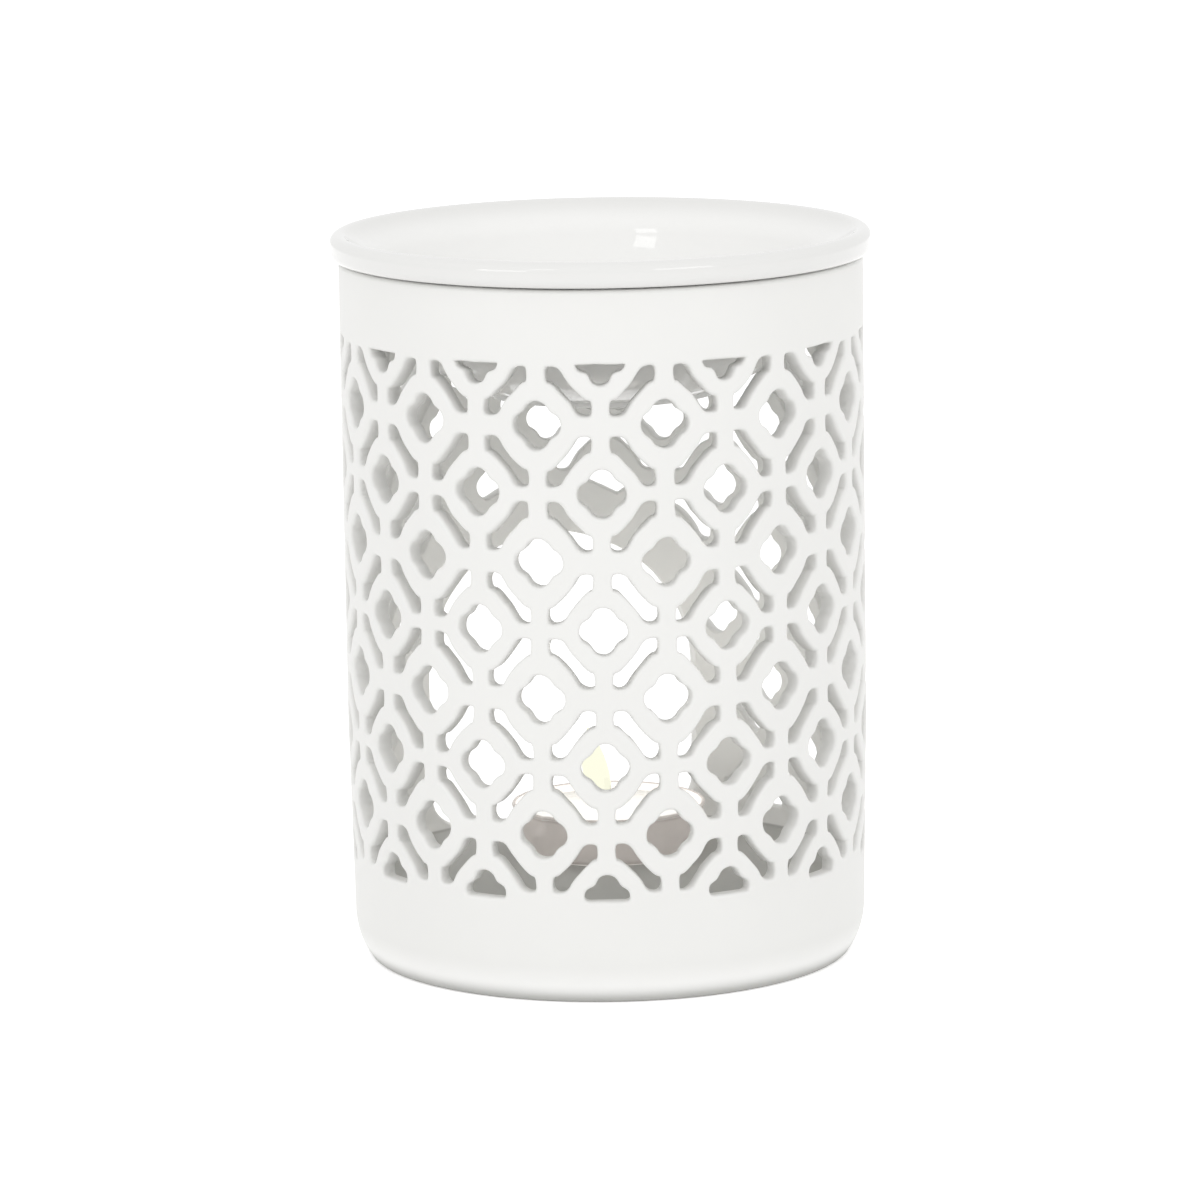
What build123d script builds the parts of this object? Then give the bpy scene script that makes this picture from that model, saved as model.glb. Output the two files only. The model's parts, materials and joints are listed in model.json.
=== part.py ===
"""An oil burner: a pierced ceramic body on a hollow foot, a bowl that lifts out of its top,
and a tea light that slides in through an arch at the back.
Millimetres, +Z up, with the origin on the axis at the bottom of the foot. The arch faces +Y."""

import os
from math import cos, hypot, radians, sin, sqrt

from build123d import *

os.makedirs("parts", exist_ok=True)

# Body: a cast cylinder that narrows a little towards its foot
body_radius = 50.0
body_height = 135.0
body_wall = 3.5
taper_height = 46.5
taper_inset = 0.7
foot_round_height = 9.0
foot_round_inset = 2.5
foot_ring_width = 5.0
foot_edge_round = 1.2
lip_round = 0.9
floor_top = 16.0
floor_thickness = 4.0

# Lattice: rows of four-lobed holes, every other row moved half a column round. They sit
# a little above the middle of the pierced band, with the end rows cut by its edges
columns = 13
rows_each_side = 4
row_rise = 0.6
end_row_nudge = 0.9
band_below_lattice = 20.0
band_above_lattice = 13.8
lobe_radius = 2.75
lobe_offset = 1.8

# Slots between neighbouring holes, shaped like a bone with square ends.
# The outline's first half turn, in shares of the slot's half width and half height
bar_between_slots = 3.65
bar_between_slot_rows = 3.8
slot_shift = 0.35
slot_outline_shares = [
    (1, 0.40),
    (1, 0.88),
    (0.86, 1),
    (0.40, 1),
    (0.12, 0.54),
    (-0.28, 0.10),
    (-0.80, -0.37),
]

# Arch at the back, with a plain band round it
arch_width = 54.0
arch_top = 74.0
arch_corner = 8.0
arch_side_band = 4.0
arch_crown_band = 10.7
arch_clear_distance = 10.0

# Dish: a bowl with a rolled rim, resting on the top of the body
dish_clearance = 0.4
dish_wall = 3.6
dish_base_cut = 1.22
dish_foot_height = 1.0
dish_foot_width = 2.5
dish_foot_recess = 0.8
bowl_curve_radius = 35.65
bowl_wall_angle = 67.0
skirt_height = 4.5
seat_width = 1.9
rim_roll_radius = 2.4
rim_overhang = 1.8
rim_gap = 0.4
rim_neck = 1.0
flare_depth = 4.2
flare_angle = 45.0
flare_round = 2.5

# Tea light: a thin cup of wax, with a wick in a tin sustainer
tealight_x = 3.9
tealight_y = 16.5
cup_radius = 18.6
cup_height = 9.2
cup_wall = 0.4
cup_corner = 1.0
cup_rim_roll = 0.4
wax_height = 7.2
wax_clearance = 0.1
sustainer_radius = 7.0
sustainer_thickness = 0.4
neck_radius = 1.4
neck_height = 3.0
wick_radius = 0.75
wick_clearance = 0.05
wick_above_wax = 6.0
wick_tip_round = 0.5

# How far a cut starts before a wall, and ends beyond it
overrun = 1.5

bore_radius = body_radius - body_wall
wall_foot_radius = body_radius - taper_inset
foot_radius = wall_foot_radius - foot_round_inset
foot_recess_radius = foot_radius - foot_ring_width
column_angle = 360 / columns
column_pitch = radians(column_angle) * body_radius
lattice_bottom = band_below_lattice
lattice_top = body_height - band_above_lattice
lattice_height = lattice_top - lattice_bottom
middle_row_height = (lattice_bottom + lattice_top) / 2 + row_rise
row_pitch = (lattice_height + 2 * end_row_nudge) / (2 * rows_each_side)
slot_half_width = (column_pitch / 2 - bar_between_slots) / 2
slot_half_height = (row_pitch - bar_between_slot_rows) / 2
arch_radius = arch_width / 2
arch_spring_height = arch_top - arch_radius


def row_height(row):
    """Height of a row of holes, counted down from 0. The end rows sit a little nearer the middle."""
    height = middle_row_height + (rows_each_side - row) * row_pitch
    if row == 0:
        return height - end_row_nudge
    if row == 2 * rows_each_side:
        return height + end_row_nudge
    return height


def window_plane(angle):
    """Plane just inside the wall and square to it, at an angle round from the arch, with Y up."""
    outward = Vector(sin(radians(angle)), cos(radians(angle)), 0)
    rightward = Vector(-cos(radians(angle)), sin(radians(angle)), 0)
    return Plane(origin=outward * (bore_radius - overrun), x_dir=rightward, z_dir=outward)


def clear_of_arch(angle, height):
    """True where a window's centre lies outside the plain band round the arch."""
    sideways = radians(abs(angle)) * body_radius
    above = max(height - arch_spring_height, 0)
    return hypot(sideways, above) > arch_radius + arch_clear_distance


def circle_reach(centre, radius, height):
    """How far out a circle reaches at a height."""
    return centre[0] + sqrt(radius**2 - (height - centre[1]) ** 2)


# Window shapes: the four-lobed hole, and a slot that rises to the right or to the left
with BuildSketch() as lobed_hole:
    with PolarLocations(lobe_offset, 4):
        Circle(lobe_radius)

slots = {}
for side in (1, -1):
    with BuildSketch() as slots[side]:
        with BuildLine():
            first_half = [
                (side * x * slot_half_width, y * slot_half_height) for x, y in slot_outline_shares
            ]
            Polyline(*first_half, *[(-x, -y) for x, y in first_half], close=True)
        make_face()

# Body: the turned wall and floor, then the arch, then the windows in one cut
with BuildPart() as burner_body:
    with BuildSketch(Plane.YZ) as body_section:
        with BuildLine():
            down_wall = (wall_foot_radius - body_radius, foot_round_height - taper_height)
            TangentArc((wall_foot_radius, foot_round_height), (foot_radius, 0), tangent=down_wall)
            Polyline(
                (wall_foot_radius, foot_round_height),
                (body_radius, taper_height),
                (body_radius, body_height),
                (bore_radius, body_height),
                (bore_radius, floor_top),
                (0, floor_top),
                (0, floor_top - floor_thickness),
                (foot_recess_radius, floor_top - floor_thickness),
                (foot_recess_radius, 0),
                (foot_radius, 0),
            )
        make_face()
        fillet(body_section.vertices().group_by(Axis.Y)[-1], lip_round)
        fillet(body_section.vertices().group_by(Axis.Y)[0], foot_edge_round)
    revolve(axis=Axis.Z)

    with BuildSketch(Plane.XZ.offset(-bore_radius / 2)) as arch:
        with Locations((0, arch_spring_height)):
            Circle(arch_radius)
        with Locations((0, (floor_top + arch_spring_height) / 2)):
            Rectangle(arch_width, arch_spring_height - floor_top)
        fillet(arch.vertices().group_by(Axis.Y)[0], arch_corner)
    extrude(amount=-body_radius, mode=Mode.SUBTRACT)

    # Slot columns lie midway between the columns of odd rows and those of even rows
    for step in range(1 - 2 * columns, 2 * columns, 2):
        angle = step * column_angle / 4
        even_rows_right = step % 4 == 1
        with BuildSketch(window_plane(angle)):
            for band in range(2 * rows_each_side):
                upper_row_even = band % 2 == 0
                side = 1 if even_rows_right != upper_row_even else -1
                shift = slot_shift if upper_row_even else -slot_shift
                height = (row_height(band) + row_height(band + 1)) / 2
                if clear_of_arch(angle, height):
                    with Locations((0, height + shift)):
                        add(slots[side].sketch)

    for step in range(1 - columns, columns + 1):
        angle = step * column_angle / 2
        with BuildSketch(window_plane(angle)):
            for row in range(step % 2, 2 * rows_each_side + 1, 2):
                if clear_of_arch(angle, row_height(row)):
                    with Locations((0, row_height(row))):
                        add(lobed_hole.sketch)
            with Locations((0, (lattice_bottom + lattice_top) / 2)):
                Rectangle(column_pitch, lattice_height, mode=Mode.INTERSECT)
            if abs(step) == 1:
                # The band over the arch's crown cuts off the foot of the two nearest holes
                with Locations((body_radius * sin(radians(angle)), arch_spring_height)):
                    Ellipse(
                        arch_radius + arch_side_band,
                        arch_radius + arch_crown_band,
                        mode=Mode.SUBTRACT,
                    )
    extrude(amount=body_wall + 2 * overrun, mode=Mode.SUBTRACT, clean=False)
burner_body.part.label = "burner_body"
export_step(burner_body.part, "parts/burner_body.step", write_pcurves=False)

# Dish: the outside and inside of its bowl are arcs about one centre, cut off flat at the base
with BuildPart() as dish:
    skirt_radius = bore_radius - dish_clearance
    skirt_bottom = body_height - skirt_height
    bowl_centre = (
        skirt_radius - bowl_curve_radius * sin(radians(bowl_wall_angle)),
        skirt_bottom + bowl_curve_radius * cos(radians(bowl_wall_angle)),
    )
    foot_top = bowl_centre[1] - bowl_curve_radius + dish_base_cut
    dish_bottom = foot_top - dish_foot_height
    foot_outer = circle_reach(bowl_centre, bowl_curve_radius, foot_top)
    foot_inner = foot_outer - dish_foot_width
    underside = dish_bottom + dish_foot_recess
    bowl_floor = underside + dish_wall
    inside_curve_radius = bowl_curve_radius - dish_wall
    roll_x = body_radius + rim_overhang - rim_roll_radius
    roll_z = body_height + rim_gap + rim_roll_radius
    flare_bottom = roll_z + rim_roll_radius - flare_depth
    roll_start = (roll_x - rim_neck, roll_z - sqrt(rim_roll_radius**2 - rim_neck**2))
    roll_end = (
        roll_x - rim_roll_radius * cos(radians(flare_angle)),
        roll_z + rim_roll_radius * sin(radians(flare_angle)),
    )
    inside_top = (circle_reach(bowl_centre, inside_curve_radius, flare_bottom), flare_bottom)
    inside_bottom = (circle_reach(bowl_centre, inside_curve_radius, bowl_floor), bowl_floor)
    with BuildSketch(Plane.YZ) as dish_section:
        with BuildLine():
            Polyline(
                (0, underside),
                (foot_inner, underside),
                (foot_inner, dish_bottom),
                (foot_outer, dish_bottom),
                (foot_outer, foot_top),
            )
            RadiusArc((foot_outer, foot_top), (skirt_radius, skirt_bottom), -bowl_curve_radius)
            Polyline(
                (skirt_radius, skirt_bottom),
                (skirt_radius, body_height),
                (skirt_radius + seat_width, body_height),
                roll_start,
            )
            ThreePointArc(roll_start, (roll_x + rim_roll_radius, roll_z), roll_end)
            Line(roll_end, inside_top)
            RadiusArc(inside_top, inside_bottom, inside_curve_radius)
            Polyline(inside_bottom, (0, bowl_floor), (0, underside))
        make_face()
        fillet(dish_section.vertices().sort_by_distance(inside_top)[0], flare_round)
    revolve(axis=Axis.Z)
dish.part.label = "dish"
export_step(dish.part, "parts/dish.step")

# Tea light, standing on the floor towards the arch. Its pieces are turned about its own axis
tealight_axis = Axis((tealight_x, tealight_y, 0), (0, 0, 1))
tealight_section = Plane(
    origin=(tealight_x, tealight_y, floor_top), x_dir=(1, 0, 0), z_dir=(0, -1, 0)
)
cup_inside = cup_radius - cup_wall
wax_radius = cup_inside - wax_clearance
wax_top = cup_wall + wax_height
sustainer_top = cup_wall + sustainer_thickness
neck_top = sustainer_top + neck_height

with BuildPart() as tealight_cup:
    with BuildSketch(tealight_section) as cup_section:
        with BuildLine():
            Polyline(
                (0, 0),
                (cup_radius, 0),
                (cup_radius, cup_height - cup_rim_roll),
                (cup_inside, cup_height - cup_rim_roll),
                (cup_inside, cup_wall),
                (0, cup_wall),
                close=True,
            )
        make_face()
        fillet(cup_section.vertices().sort_by_distance((cup_radius, 0))[0], cup_corner)
        inner_corner = cup_section.vertices().sort_by_distance((cup_inside, cup_wall))[0]
        fillet(inner_corner, cup_corner - cup_wall)
        with Locations((cup_radius, cup_height - cup_rim_roll)):
            Circle(cup_rim_roll)
    revolve(axis=tealight_axis)
tealight_cup.part.label = "tealight_cup"
export_step(tealight_cup.part, "parts/tealight_cup.step")

with BuildPart() as wick_sustainer:
    with BuildSketch(tealight_section):
        with BuildLine():
            Polyline(
                (0, cup_wall),
                (sustainer_radius, cup_wall),
                (sustainer_radius, sustainer_top),
                (neck_radius, sustainer_top),
                (neck_radius, neck_top),
                (wick_radius + wick_clearance, neck_top),
                (wick_radius + wick_clearance, sustainer_top),
                (0, sustainer_top),
                close=True,
            )
        make_face()
    revolve(axis=tealight_axis)
wick_sustainer.part.label = "wick_sustainer"
export_step(wick_sustainer.part, "parts/wick_sustainer.step")

with BuildPart() as wick:
    with BuildSketch(tealight_section) as wick_section:
        with BuildLine():
            Polyline(
                (0, sustainer_top),
                (wick_radius, sustainer_top),
                (wick_radius, wax_top + wick_above_wax),
                (0, wax_top + wick_above_wax),
                close=True,
            )
        make_face()
        wick_tip = (wick_radius, wax_top + wick_above_wax)
        fillet(wick_section.vertices().sort_by_distance(wick_tip)[0], wick_tip_round)
    revolve(axis=tealight_axis)
wick.part.label = "wick"
export_step(wick.part, "parts/wick.step")

# The wax is poured round the sustainer and the wick
with BuildPart() as tealight_wax:
    with BuildSketch(tealight_section) as wax_section:
        with BuildLine():
            Polyline(
                (sustainer_radius + wax_clearance, cup_wall),
                (wax_radius, cup_wall),
                (wax_radius, wax_top),
                (wick_radius + wax_clearance, wax_top),
                (wick_radius + wax_clearance, neck_top + wax_clearance),
                (neck_radius + wax_clearance, neck_top + wax_clearance),
                (neck_radius + wax_clearance, sustainer_top + wax_clearance),
                (sustainer_radius + wax_clearance, sustainer_top + wax_clearance),
                close=True,
            )
        make_face()
        wax_foot = wax_section.vertices().sort_by_distance((wax_radius, cup_wall))[0]
        fillet(wax_foot, cup_corner - cup_wall)
    revolve(axis=tealight_axis)
tealight_wax.part.label = "tealight_wax"
export_step(tealight_wax.part, "parts/tealight_wax.step")
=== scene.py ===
"""A pierced ceramic oil burner: body, lift-out bowl and burning tea light. Metres, +Z up.

The origin is on the body's axis at the bottom of its foot, and the arch faces +Y."""

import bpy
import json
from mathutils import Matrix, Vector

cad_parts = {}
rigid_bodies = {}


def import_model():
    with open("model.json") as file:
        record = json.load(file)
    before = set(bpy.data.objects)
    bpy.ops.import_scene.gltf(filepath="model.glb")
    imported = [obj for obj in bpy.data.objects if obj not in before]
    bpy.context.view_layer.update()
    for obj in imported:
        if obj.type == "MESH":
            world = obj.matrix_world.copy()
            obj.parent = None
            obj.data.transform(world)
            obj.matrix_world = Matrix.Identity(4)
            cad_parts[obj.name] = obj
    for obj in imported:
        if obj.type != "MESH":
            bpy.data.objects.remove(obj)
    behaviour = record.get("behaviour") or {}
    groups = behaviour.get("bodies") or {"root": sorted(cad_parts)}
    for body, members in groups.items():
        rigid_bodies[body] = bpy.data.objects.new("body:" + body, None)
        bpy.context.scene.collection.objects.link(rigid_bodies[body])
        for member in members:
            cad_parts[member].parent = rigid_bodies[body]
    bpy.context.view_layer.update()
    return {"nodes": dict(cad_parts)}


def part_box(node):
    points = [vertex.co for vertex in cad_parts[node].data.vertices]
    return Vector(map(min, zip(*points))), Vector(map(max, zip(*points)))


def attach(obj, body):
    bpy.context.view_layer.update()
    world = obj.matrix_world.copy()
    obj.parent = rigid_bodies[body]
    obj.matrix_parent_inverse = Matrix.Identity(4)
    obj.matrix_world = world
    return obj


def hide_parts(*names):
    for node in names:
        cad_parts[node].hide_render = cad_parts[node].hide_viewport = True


bl_info = {
    "name": "Pierced Oil Burner",
    "version": (1, 0, 0),
    "blender": (4, 5, 0),
    "location": "3D View > Sidebar > Oil Burner",
    "description": "Dresses the pierced oil burner, piece by piece, and lights it on a plain floor",
    "category": "Add Mesh",
}

import json
from math import asin, atan2, cos, floor, hypot, pi, radians, sin, sqrt

import bmesh
import bpy
import numpy as np
from bpy.props import FloatProperty, FloatVectorProperty, IntProperty, PointerProperty
from mathutils import Matrix, Vector, noise
from mathutils.geometry import delaunay_2d_cdt
from mathutils.kdtree import KDTree

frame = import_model()

MM = 0.001
TINY = 1e-7
TURN = 2 * pi
BODY_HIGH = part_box("burner_body")[1]
DISH_LOW, DISH_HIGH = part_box("dish")
CUP_LOW, CUP_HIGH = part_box("tealight_cup")
WAX_LOW, WAX_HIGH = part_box("tealight_wax")
WICK_LOW, WICK_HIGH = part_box("wick")


def length(name, description, default, **more):
    """A size in metres that a user can change."""
    return FloatProperty(
        name=name, description=description, default=default, min=0.0, precision=5,
        unit="LENGTH", subtype="DISTANCE", **more
    )


def angle(name, description, default):
    """An angle in radians that a user can change."""
    return FloatProperty(name=name, description=description, default=default, subtype="ANGLE")


def share(name, description, default):
    """A share from 0 to 1 that a user can change."""
    return FloatProperty(
        name=name, description=description, default=default, min=0.0, max=1.0, subtype="FACTOR"
    )


def colour(name, description, default):
    """A linear colour that a user can change."""
    return FloatVectorProperty(
        name=name, description=description, default=default, size=3, min=0.0, max=1.0,
        subtype="COLOR"
    )


class BodySizes(bpy.types.PropertyGroup):
    """Sizes of the turned ceramic body"""

    radius: length("Radius", "Outer radius of the body", BODY_HIGH.x)
    height: length("Height", "Height of the body", BODY_HIGH.z)
    wall: length("Wall", "Thickness of the wall", 3.5 * MM)
    taper_height: length("Taper height", "Height below which the body narrows", 46.5 * MM)
    taper_inset: length("Taper inset", "How much it narrows down to the foot", 0.7 * MM)
    foot_round_height: length("Foot round height", "Height of the rounded foot", 9 * MM)
    foot_round_inset: length("Foot round inset", "How far the foot rounds in", 2.5 * MM)
    foot_ring_width: length("Foot ring", "Width of the ring that it stands on", 5 * MM)
    foot_edge_round: length("Foot edge round", "Rounding of the foot ring's edges", 1.2 * MM)
    lip_round: length("Lip round", "Rounding of the body's top edges", 0.9 * MM)
    floor_top: length("Floor", "Height of the floor's top", 16 * MM)
    floor_thickness: length("Floor thickness", "Thickness of the floor", 4 * MM)
    round_segments: IntProperty(
        name="Segments", description="Segments once round the body", default=208, min=52
    )


class LatticeSizes(bpy.types.PropertyGroup):
    """Sizes of the windows through the body's wall"""

    columns: IntProperty(name="Columns", description="Holes once round a row", default=13, min=5)
    rows_each_side: IntProperty(
        name="Rows each side", description="Rows above and below the middle one", default=4, min=1
    )
    band_below: length("Band below", "Plain band under the windows", 20 * MM)
    band_above: length("Band above", "Plain band over the windows", 13.8 * MM)
    row_rise: length("Row rise", "How far the rows sit above the middle", 0.6 * MM)
    end_row_nudge: length("End row nudge", "How far the end rows move in", 0.9 * MM)
    lobe_reach: length("Lobe reach", "From a hole's centre to a lobe's tip", 4.55 * MM)
    bar_between_slots: length("Bar between slots", "Width of an upright bar", 3.65 * MM)
    bar_between_slot_rows: length("Bar between rows", "Height of a level bar", 3.8 * MM)
    slot_shift: length("Slot shift", "Move of a slot towards the even row", 0.35 * MM)
    edge_round: length("Edge round", "Rounding of the windows' outer edges", 0.7 * MM)
    inner_edge_round: length("Inner edge", "Bevel of the windows' inner edges", 0.35 * MM)
    hand_wobble: length("Hand wobble", "How far the cut edges wander", 0.55 * MM)
    web_spacing: length("Web spacing", "Spacing of the points between windows", 2.3 * MM)


class ArchSizes(bpy.types.PropertyGroup):
    """Sizes of the opening at the back"""

    width: length("Width", "Width of the arch", 54 * MM)
    top: length("Top", "Height of the arch's crown", 74 * MM)
    corner: length("Corner", "Radius of its lower corners", 8 * MM)
    side_band: length("Side band", "Plain band beside the arch", 4 * MM)
    crown_band: length("Crown band", "Plain band over the crown", 11.5 * MM)
    clear_distance: length("Clear distance", "No window's centre comes nearer", 10 * MM)
    edge_round: length("Edge round", "Rounding of the arch's outer edge", 0.9 * MM)


class DishSizes(bpy.types.PropertyGroup):
    """Sizes of the bowl in the top"""

    radius: length("Radius", "Outer radius of the rim", DISH_HIGH.x)
    clearance: length("Clearance", "Gap between the skirt and the body", 0.4 * MM)
    wall: length("Wall", "Thickness of the bowl", 3.6 * MM)
    curve_radius: length("Curve", "Radius of the bowl's outside curve", 35.65 * MM)
    wall_angle: angle("Wall angle", "Steepness of the bowl under the skirt", radians(67))
    skirt_height: length("Skirt", "Height of the upright skirt", 4.5 * MM)
    foot_height: length("Foot", "Height of the foot ring", 1 * MM)
    foot_width: length("Foot width", "Width of the foot ring", 2.5 * MM)
    foot_recess: length("Foot recess", "Depth inside the foot ring", 0.8 * MM)
    seat_width: length("Seat", "Width of the seat on the body", 1.9 * MM)
    rim_gap: length("Rim gap", "Gap between the rim and the body", 0.4 * MM)
    rim_low_round: length("Rim round below", "Rounding of the rim's lower edge", 1.6 * MM)
    rim_high_round: length("Rim round above", "Rounding of the rim's ridge", 1.9 * MM)
    flare_depth: length("Flare", "Height of the flared lip", 4.2 * MM)
    flare_angle: angle("Flare angle", "Slope of the flared lip", radians(45))
    flare_round: length("Flare round", "Radius under the flared lip", 2.5 * MM)
    round_segments: IntProperty(
        name="Segments", description="Segments once round the bowl", default=256, min=64
    )


class TeaLightSizes(bpy.types.PropertyGroup):
    """Sizes of the tea light"""

    cup_wall: length("Cup wall", "Thickness of the cup's wall", 0.4 * MM)
    cup_corner: length("Cup corner", "Rounding of the cup's bottom", 1 * MM)
    rim_roll: length("Rim roll", "Radius of the rolled rim", 0.4 * MM)
    flute_depth: length("Flute depth", "Depth of the pressed flutes", 0.03 * MM)
    dent_depth: length("Dent depth", "Depth of the dent in the rim", 0.9 * MM)
    flutes: IntProperty(name="Flutes", description="Flutes round the cup", default=60, min=12)
    pool_radius: length("Melt pool", "Radius of the melted wax", 16.6 * MM)
    wick_radius: length("Wick radius", "Radius of the wick", 0.75 * MM)
    flame_height: length("Flame height", "Height of the flame", 15.2 * MM)
    flame_radius: length("Flame radius", "Half the flame's width", 3.5 * MM)
    flame_lean: length("Flame lean", "How far the flame's tip leans", 3.4 * MM)


class Finishes(bpy.types.PropertyGroup):
    """Colours of the pieces, as linear values"""

    body: colour("Body", "Matt ceramic of the body", (0.815, 0.813, 0.795))
    # Painted light: paler round the foot, where it lifts the contact shade.
    painted_light_foot: colour("Body foot", "Paler ceramic round the foot", (0.96, 0.958, 0.945))
    # Bare ceramic, painted paler than the outside as painted light in the dim inside.
    inside: colour("Inside", "Bare ceramic inside the body", (0.9, 0.9, 0.882))
    # Painted shade: the chamber floor is dark grey for the shade that the low wall casts on it.
    shaded_chamber_floor: colour("Chamber floor", "Sooted floor under the flame", (0.54, 0.54, 0.52))
    dish: colour("Dish", "Glaze in the bowl", (0.87, 0.868, 0.855))
    # Painted shade: the glaze is written darker over the rim.
    shaded_dish_rim: colour("Dish rim", "Glaze over the rim", (0.765, 0.762, 0.748))
    # Pale aluminium with a pink tint, which is a painted reflection.
    cup: colour("Cup", "Aluminium of the tea light", (0.95, 0.885, 0.85))
    wax: colour("Wax", "Candle wax", (0.82, 0.81, 0.77))
    melted_wax: colour("Melted wax", "Wet wax round the wick", (0.72, 0.715, 0.68))
    wick: colour("Wick", "Charred cotton", (0.03, 0.024, 0.02))
    tin: colour("Tin", "Tin of the wick's holder", (0.62, 0.62, 0.6))
    flame: colour("Flame", "Glow of the flame", (1.0, 0.995, 0.8))
    floor: colour("Floor", "Floor under the burner", (0.95, 0.95, 0.95))


class StageSettings(bpy.types.PropertyGroup):
    """Light, floor and camera"""

    sky: FloatProperty(name="Sky", description="Strength of the white surroundings", default=0.97)
    glow: FloatProperty(name="Glow", description="Brightness of the softboxes", default=2.6)
    flame_power: FloatProperty(
        name="Flame power", description="Light that the flame gives", default=0.006, unit="POWER"
    )
    flame_light_height: length("Flame light height", "From the wick up to the flame's light", 26 * MM)
    floor_lift: share("Floor lift", "How much whiter the floor looks to the camera", 0.4)
    softbox_distance: length("Softbox distance", "From the burner to the softboxes", 1.3)
    floor_size: length("Floor size", "Half the floor's width", 8.0)
    camera_azimuth: angle("Camera azimuth", "Angle of the camera round the burner", radians(-13.3))
    camera_distance: length("Camera distance", "From the axis to the camera", 1241.8 * MM)
    camera_height: length("Camera height", "Height of the camera", 295.7 * MM)
    camera_pitch: angle("Camera pitch", "How far the camera looks down", radians(10.38))
    camera_yaw: angle("Camera yaw", "How far the camera looks left of the axis", radians(0.05))
    camera_roll: angle("Camera roll", "Roll of the camera", radians(-0.86))
    lens: FloatProperty(
        name="Lens", description="Focal length in mm", default=196.8, subtype="DISTANCE_CAMERA"
    )


# Small helpers for outlines, meshes and trees


def neighbours(points):
    """Each point of a closed outline, with the one before it and the one after it."""
    return zip(points[-1:] + points[:-1], points, points[1:] + points[:1])


def closed_spline(corners, steps):
    """Points of the smooth closed curve that a row of corners controls."""
    points = []
    for before, corner, after in neighbours(corners):
        start, end = (before + corner) / 2, (corner + after) / 2
        for step in range(steps):
            t = step / steps
            points.append(start * (1 - t) ** 2 + corner * (2 * t * (1 - t)) + end * t * t)
    return points


def grown(corners, distance):
    """A counterclockwise outline with each side moved out by a distance."""
    moved = []
    for before, corner, after in neighbours(corners):
        first = (corner - before).normalized()
        second = (after - corner).normalized()
        side = Vector((first.y, -first.x))
        outward = (side + Vector((second.y, -second.x))).normalized()
        moved.append(corner + outward * (distance / max(outward.dot(side), 0.5)))
    return moved


def evenly(points, count):
    """The same closed outline as a number of evenly spaced corners."""
    steps = [(after - point).length for _, point, after in neighbours(points)]
    reach, corners, walked = sum(steps) / count, [], 0.0
    for (_, point, after), step in zip(neighbours(points), steps):
        while len(corners) * reach <= walked + step and len(corners) < count:
            corners.append(point.lerp(after, (len(corners) * reach - walked) / step))
        walked += step
    return corners


def clipped(points, depth_inside):
    """The part of a closed outline where depth_inside(point) is above zero."""
    kept = []
    for _, point, after in neighbours(points):
        here, there = depth_inside(point), depth_inside(after)
        if here >= 0:
            kept.append(point)
        if (here >= 0) != (there >= 0):
            kept.append(point.lerp(after, here / (here - there)))
    return kept


def arc(centre, radius, start, end, steps):
    """Points (x, z) along an arc, both ends included, from one angle to another."""
    return [
        (centre[0] + radius * cos(start + (end - start) * step / steps),
         centre[1] + radius * sin(start + (end - start) * step / steps))
        for step in range(steps + 1)
    ]


def straight(start, end, steps):
    """Points along a straight line, both ends included."""
    return [
        tuple(a + (b - a) * step / steps for a, b in zip(start, end)) for step in range(steps + 1)
    ]


def pulled(start, corner, end, steps):
    """Points after the start of a curve to the end, which a corner pulls towards itself."""
    curve = []
    for step in range(1, steps + 1):
        t = step / steps
        curve.append(tuple(start * (1 - t) ** 2 + corner * (2 * t * (1 - t)) + end * t * t))
    return curve


def without_doubles(points):
    """A profile without points that repeat the one before them."""
    kept = points[:1]
    for point in points[1:]:
        if hypot(point[0] - kept[-1][0], point[1] - kept[-1][1]) > TINY:
            kept.append(point)
    return kept


def turned(profile, segments, surface, centre=(0, 0), change=None):
    """Adds a profile of (radius, height) points, turned round a centre, to a surface.
    The profile has the outside on its right. change(radius, height, turn) may move a point."""
    vertices, faces = surface
    rings = []
    for radius, height in without_doubles(profile):
        if radius < TINY:
            rings.append([len(vertices)])
            vertices.append((centre[0], centre[1], height))
            continue
        rings.append(range(len(vertices), len(vertices) + segments))
        for step in range(segments):
            turn = TURN * step / segments
            r, z = change(radius, height, turn) if change else (radius, height)
            vertices.append((centre[0] + r * sin(turn), centre[1] - r * cos(turn), z))
    for lower, upper in zip(rings, rings[1:]):
        for step in range(segments):
            after = (step + 1) % segments
            corners = [lower[step % len(lower)], lower[after % len(lower)],
                       upper[after % len(upper)], upper[step % len(upper)]]
            faces.append(tuple(dict.fromkeys(corners)))
    return surface


def new_mesh(name, vertices, faces, smooth=True):
    """A mesh object that isn't in the scene yet."""
    mesh = bpy.data.meshes.new(name)
    mesh.from_pydata([tuple(v) for v in vertices], [], faces)
    mesh.polygons.foreach_set("use_smooth", [smooth] * len(mesh.polygons))
    mesh.update()
    return bpy.data.objects.new(name, mesh)


def show(piece, material, body, stands_for=None):
    """Puts a finished piece into the scene and ties it to its body, slot and node."""
    bpy.context.scene.collection.objects.link(piece)
    piece.data.materials.clear()
    piece.data.materials.append(material)
    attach(piece, body)
    if stands_for:
        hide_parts(stands_for)


def feed(tree, node, inputs):
    """Sets a node's inputs to values, or links the outputs of other nodes to them."""
    for socket, value in dict(inputs).items():
        if isinstance(value, bpy.types.NodeSocket):
            tree.links.new(value, node.inputs[socket])
        else:
            node.inputs[socket].default_value = value


def put(tree, kind, inputs=(), **settings):
    """Adds a node to a tree, sets its options and feeds its inputs."""
    node = tree.nodes.new(kind)
    for name, value in settings.items():
        setattr(node, name, value)
    feed(tree, node, inputs)
    return node


def maths(tree, operation, *values):
    """Output of a Math node over values or sockets."""
    return put(tree, "ShaderNodeMath", inputs=enumerate(values), operation=operation).outputs[0]


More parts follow.
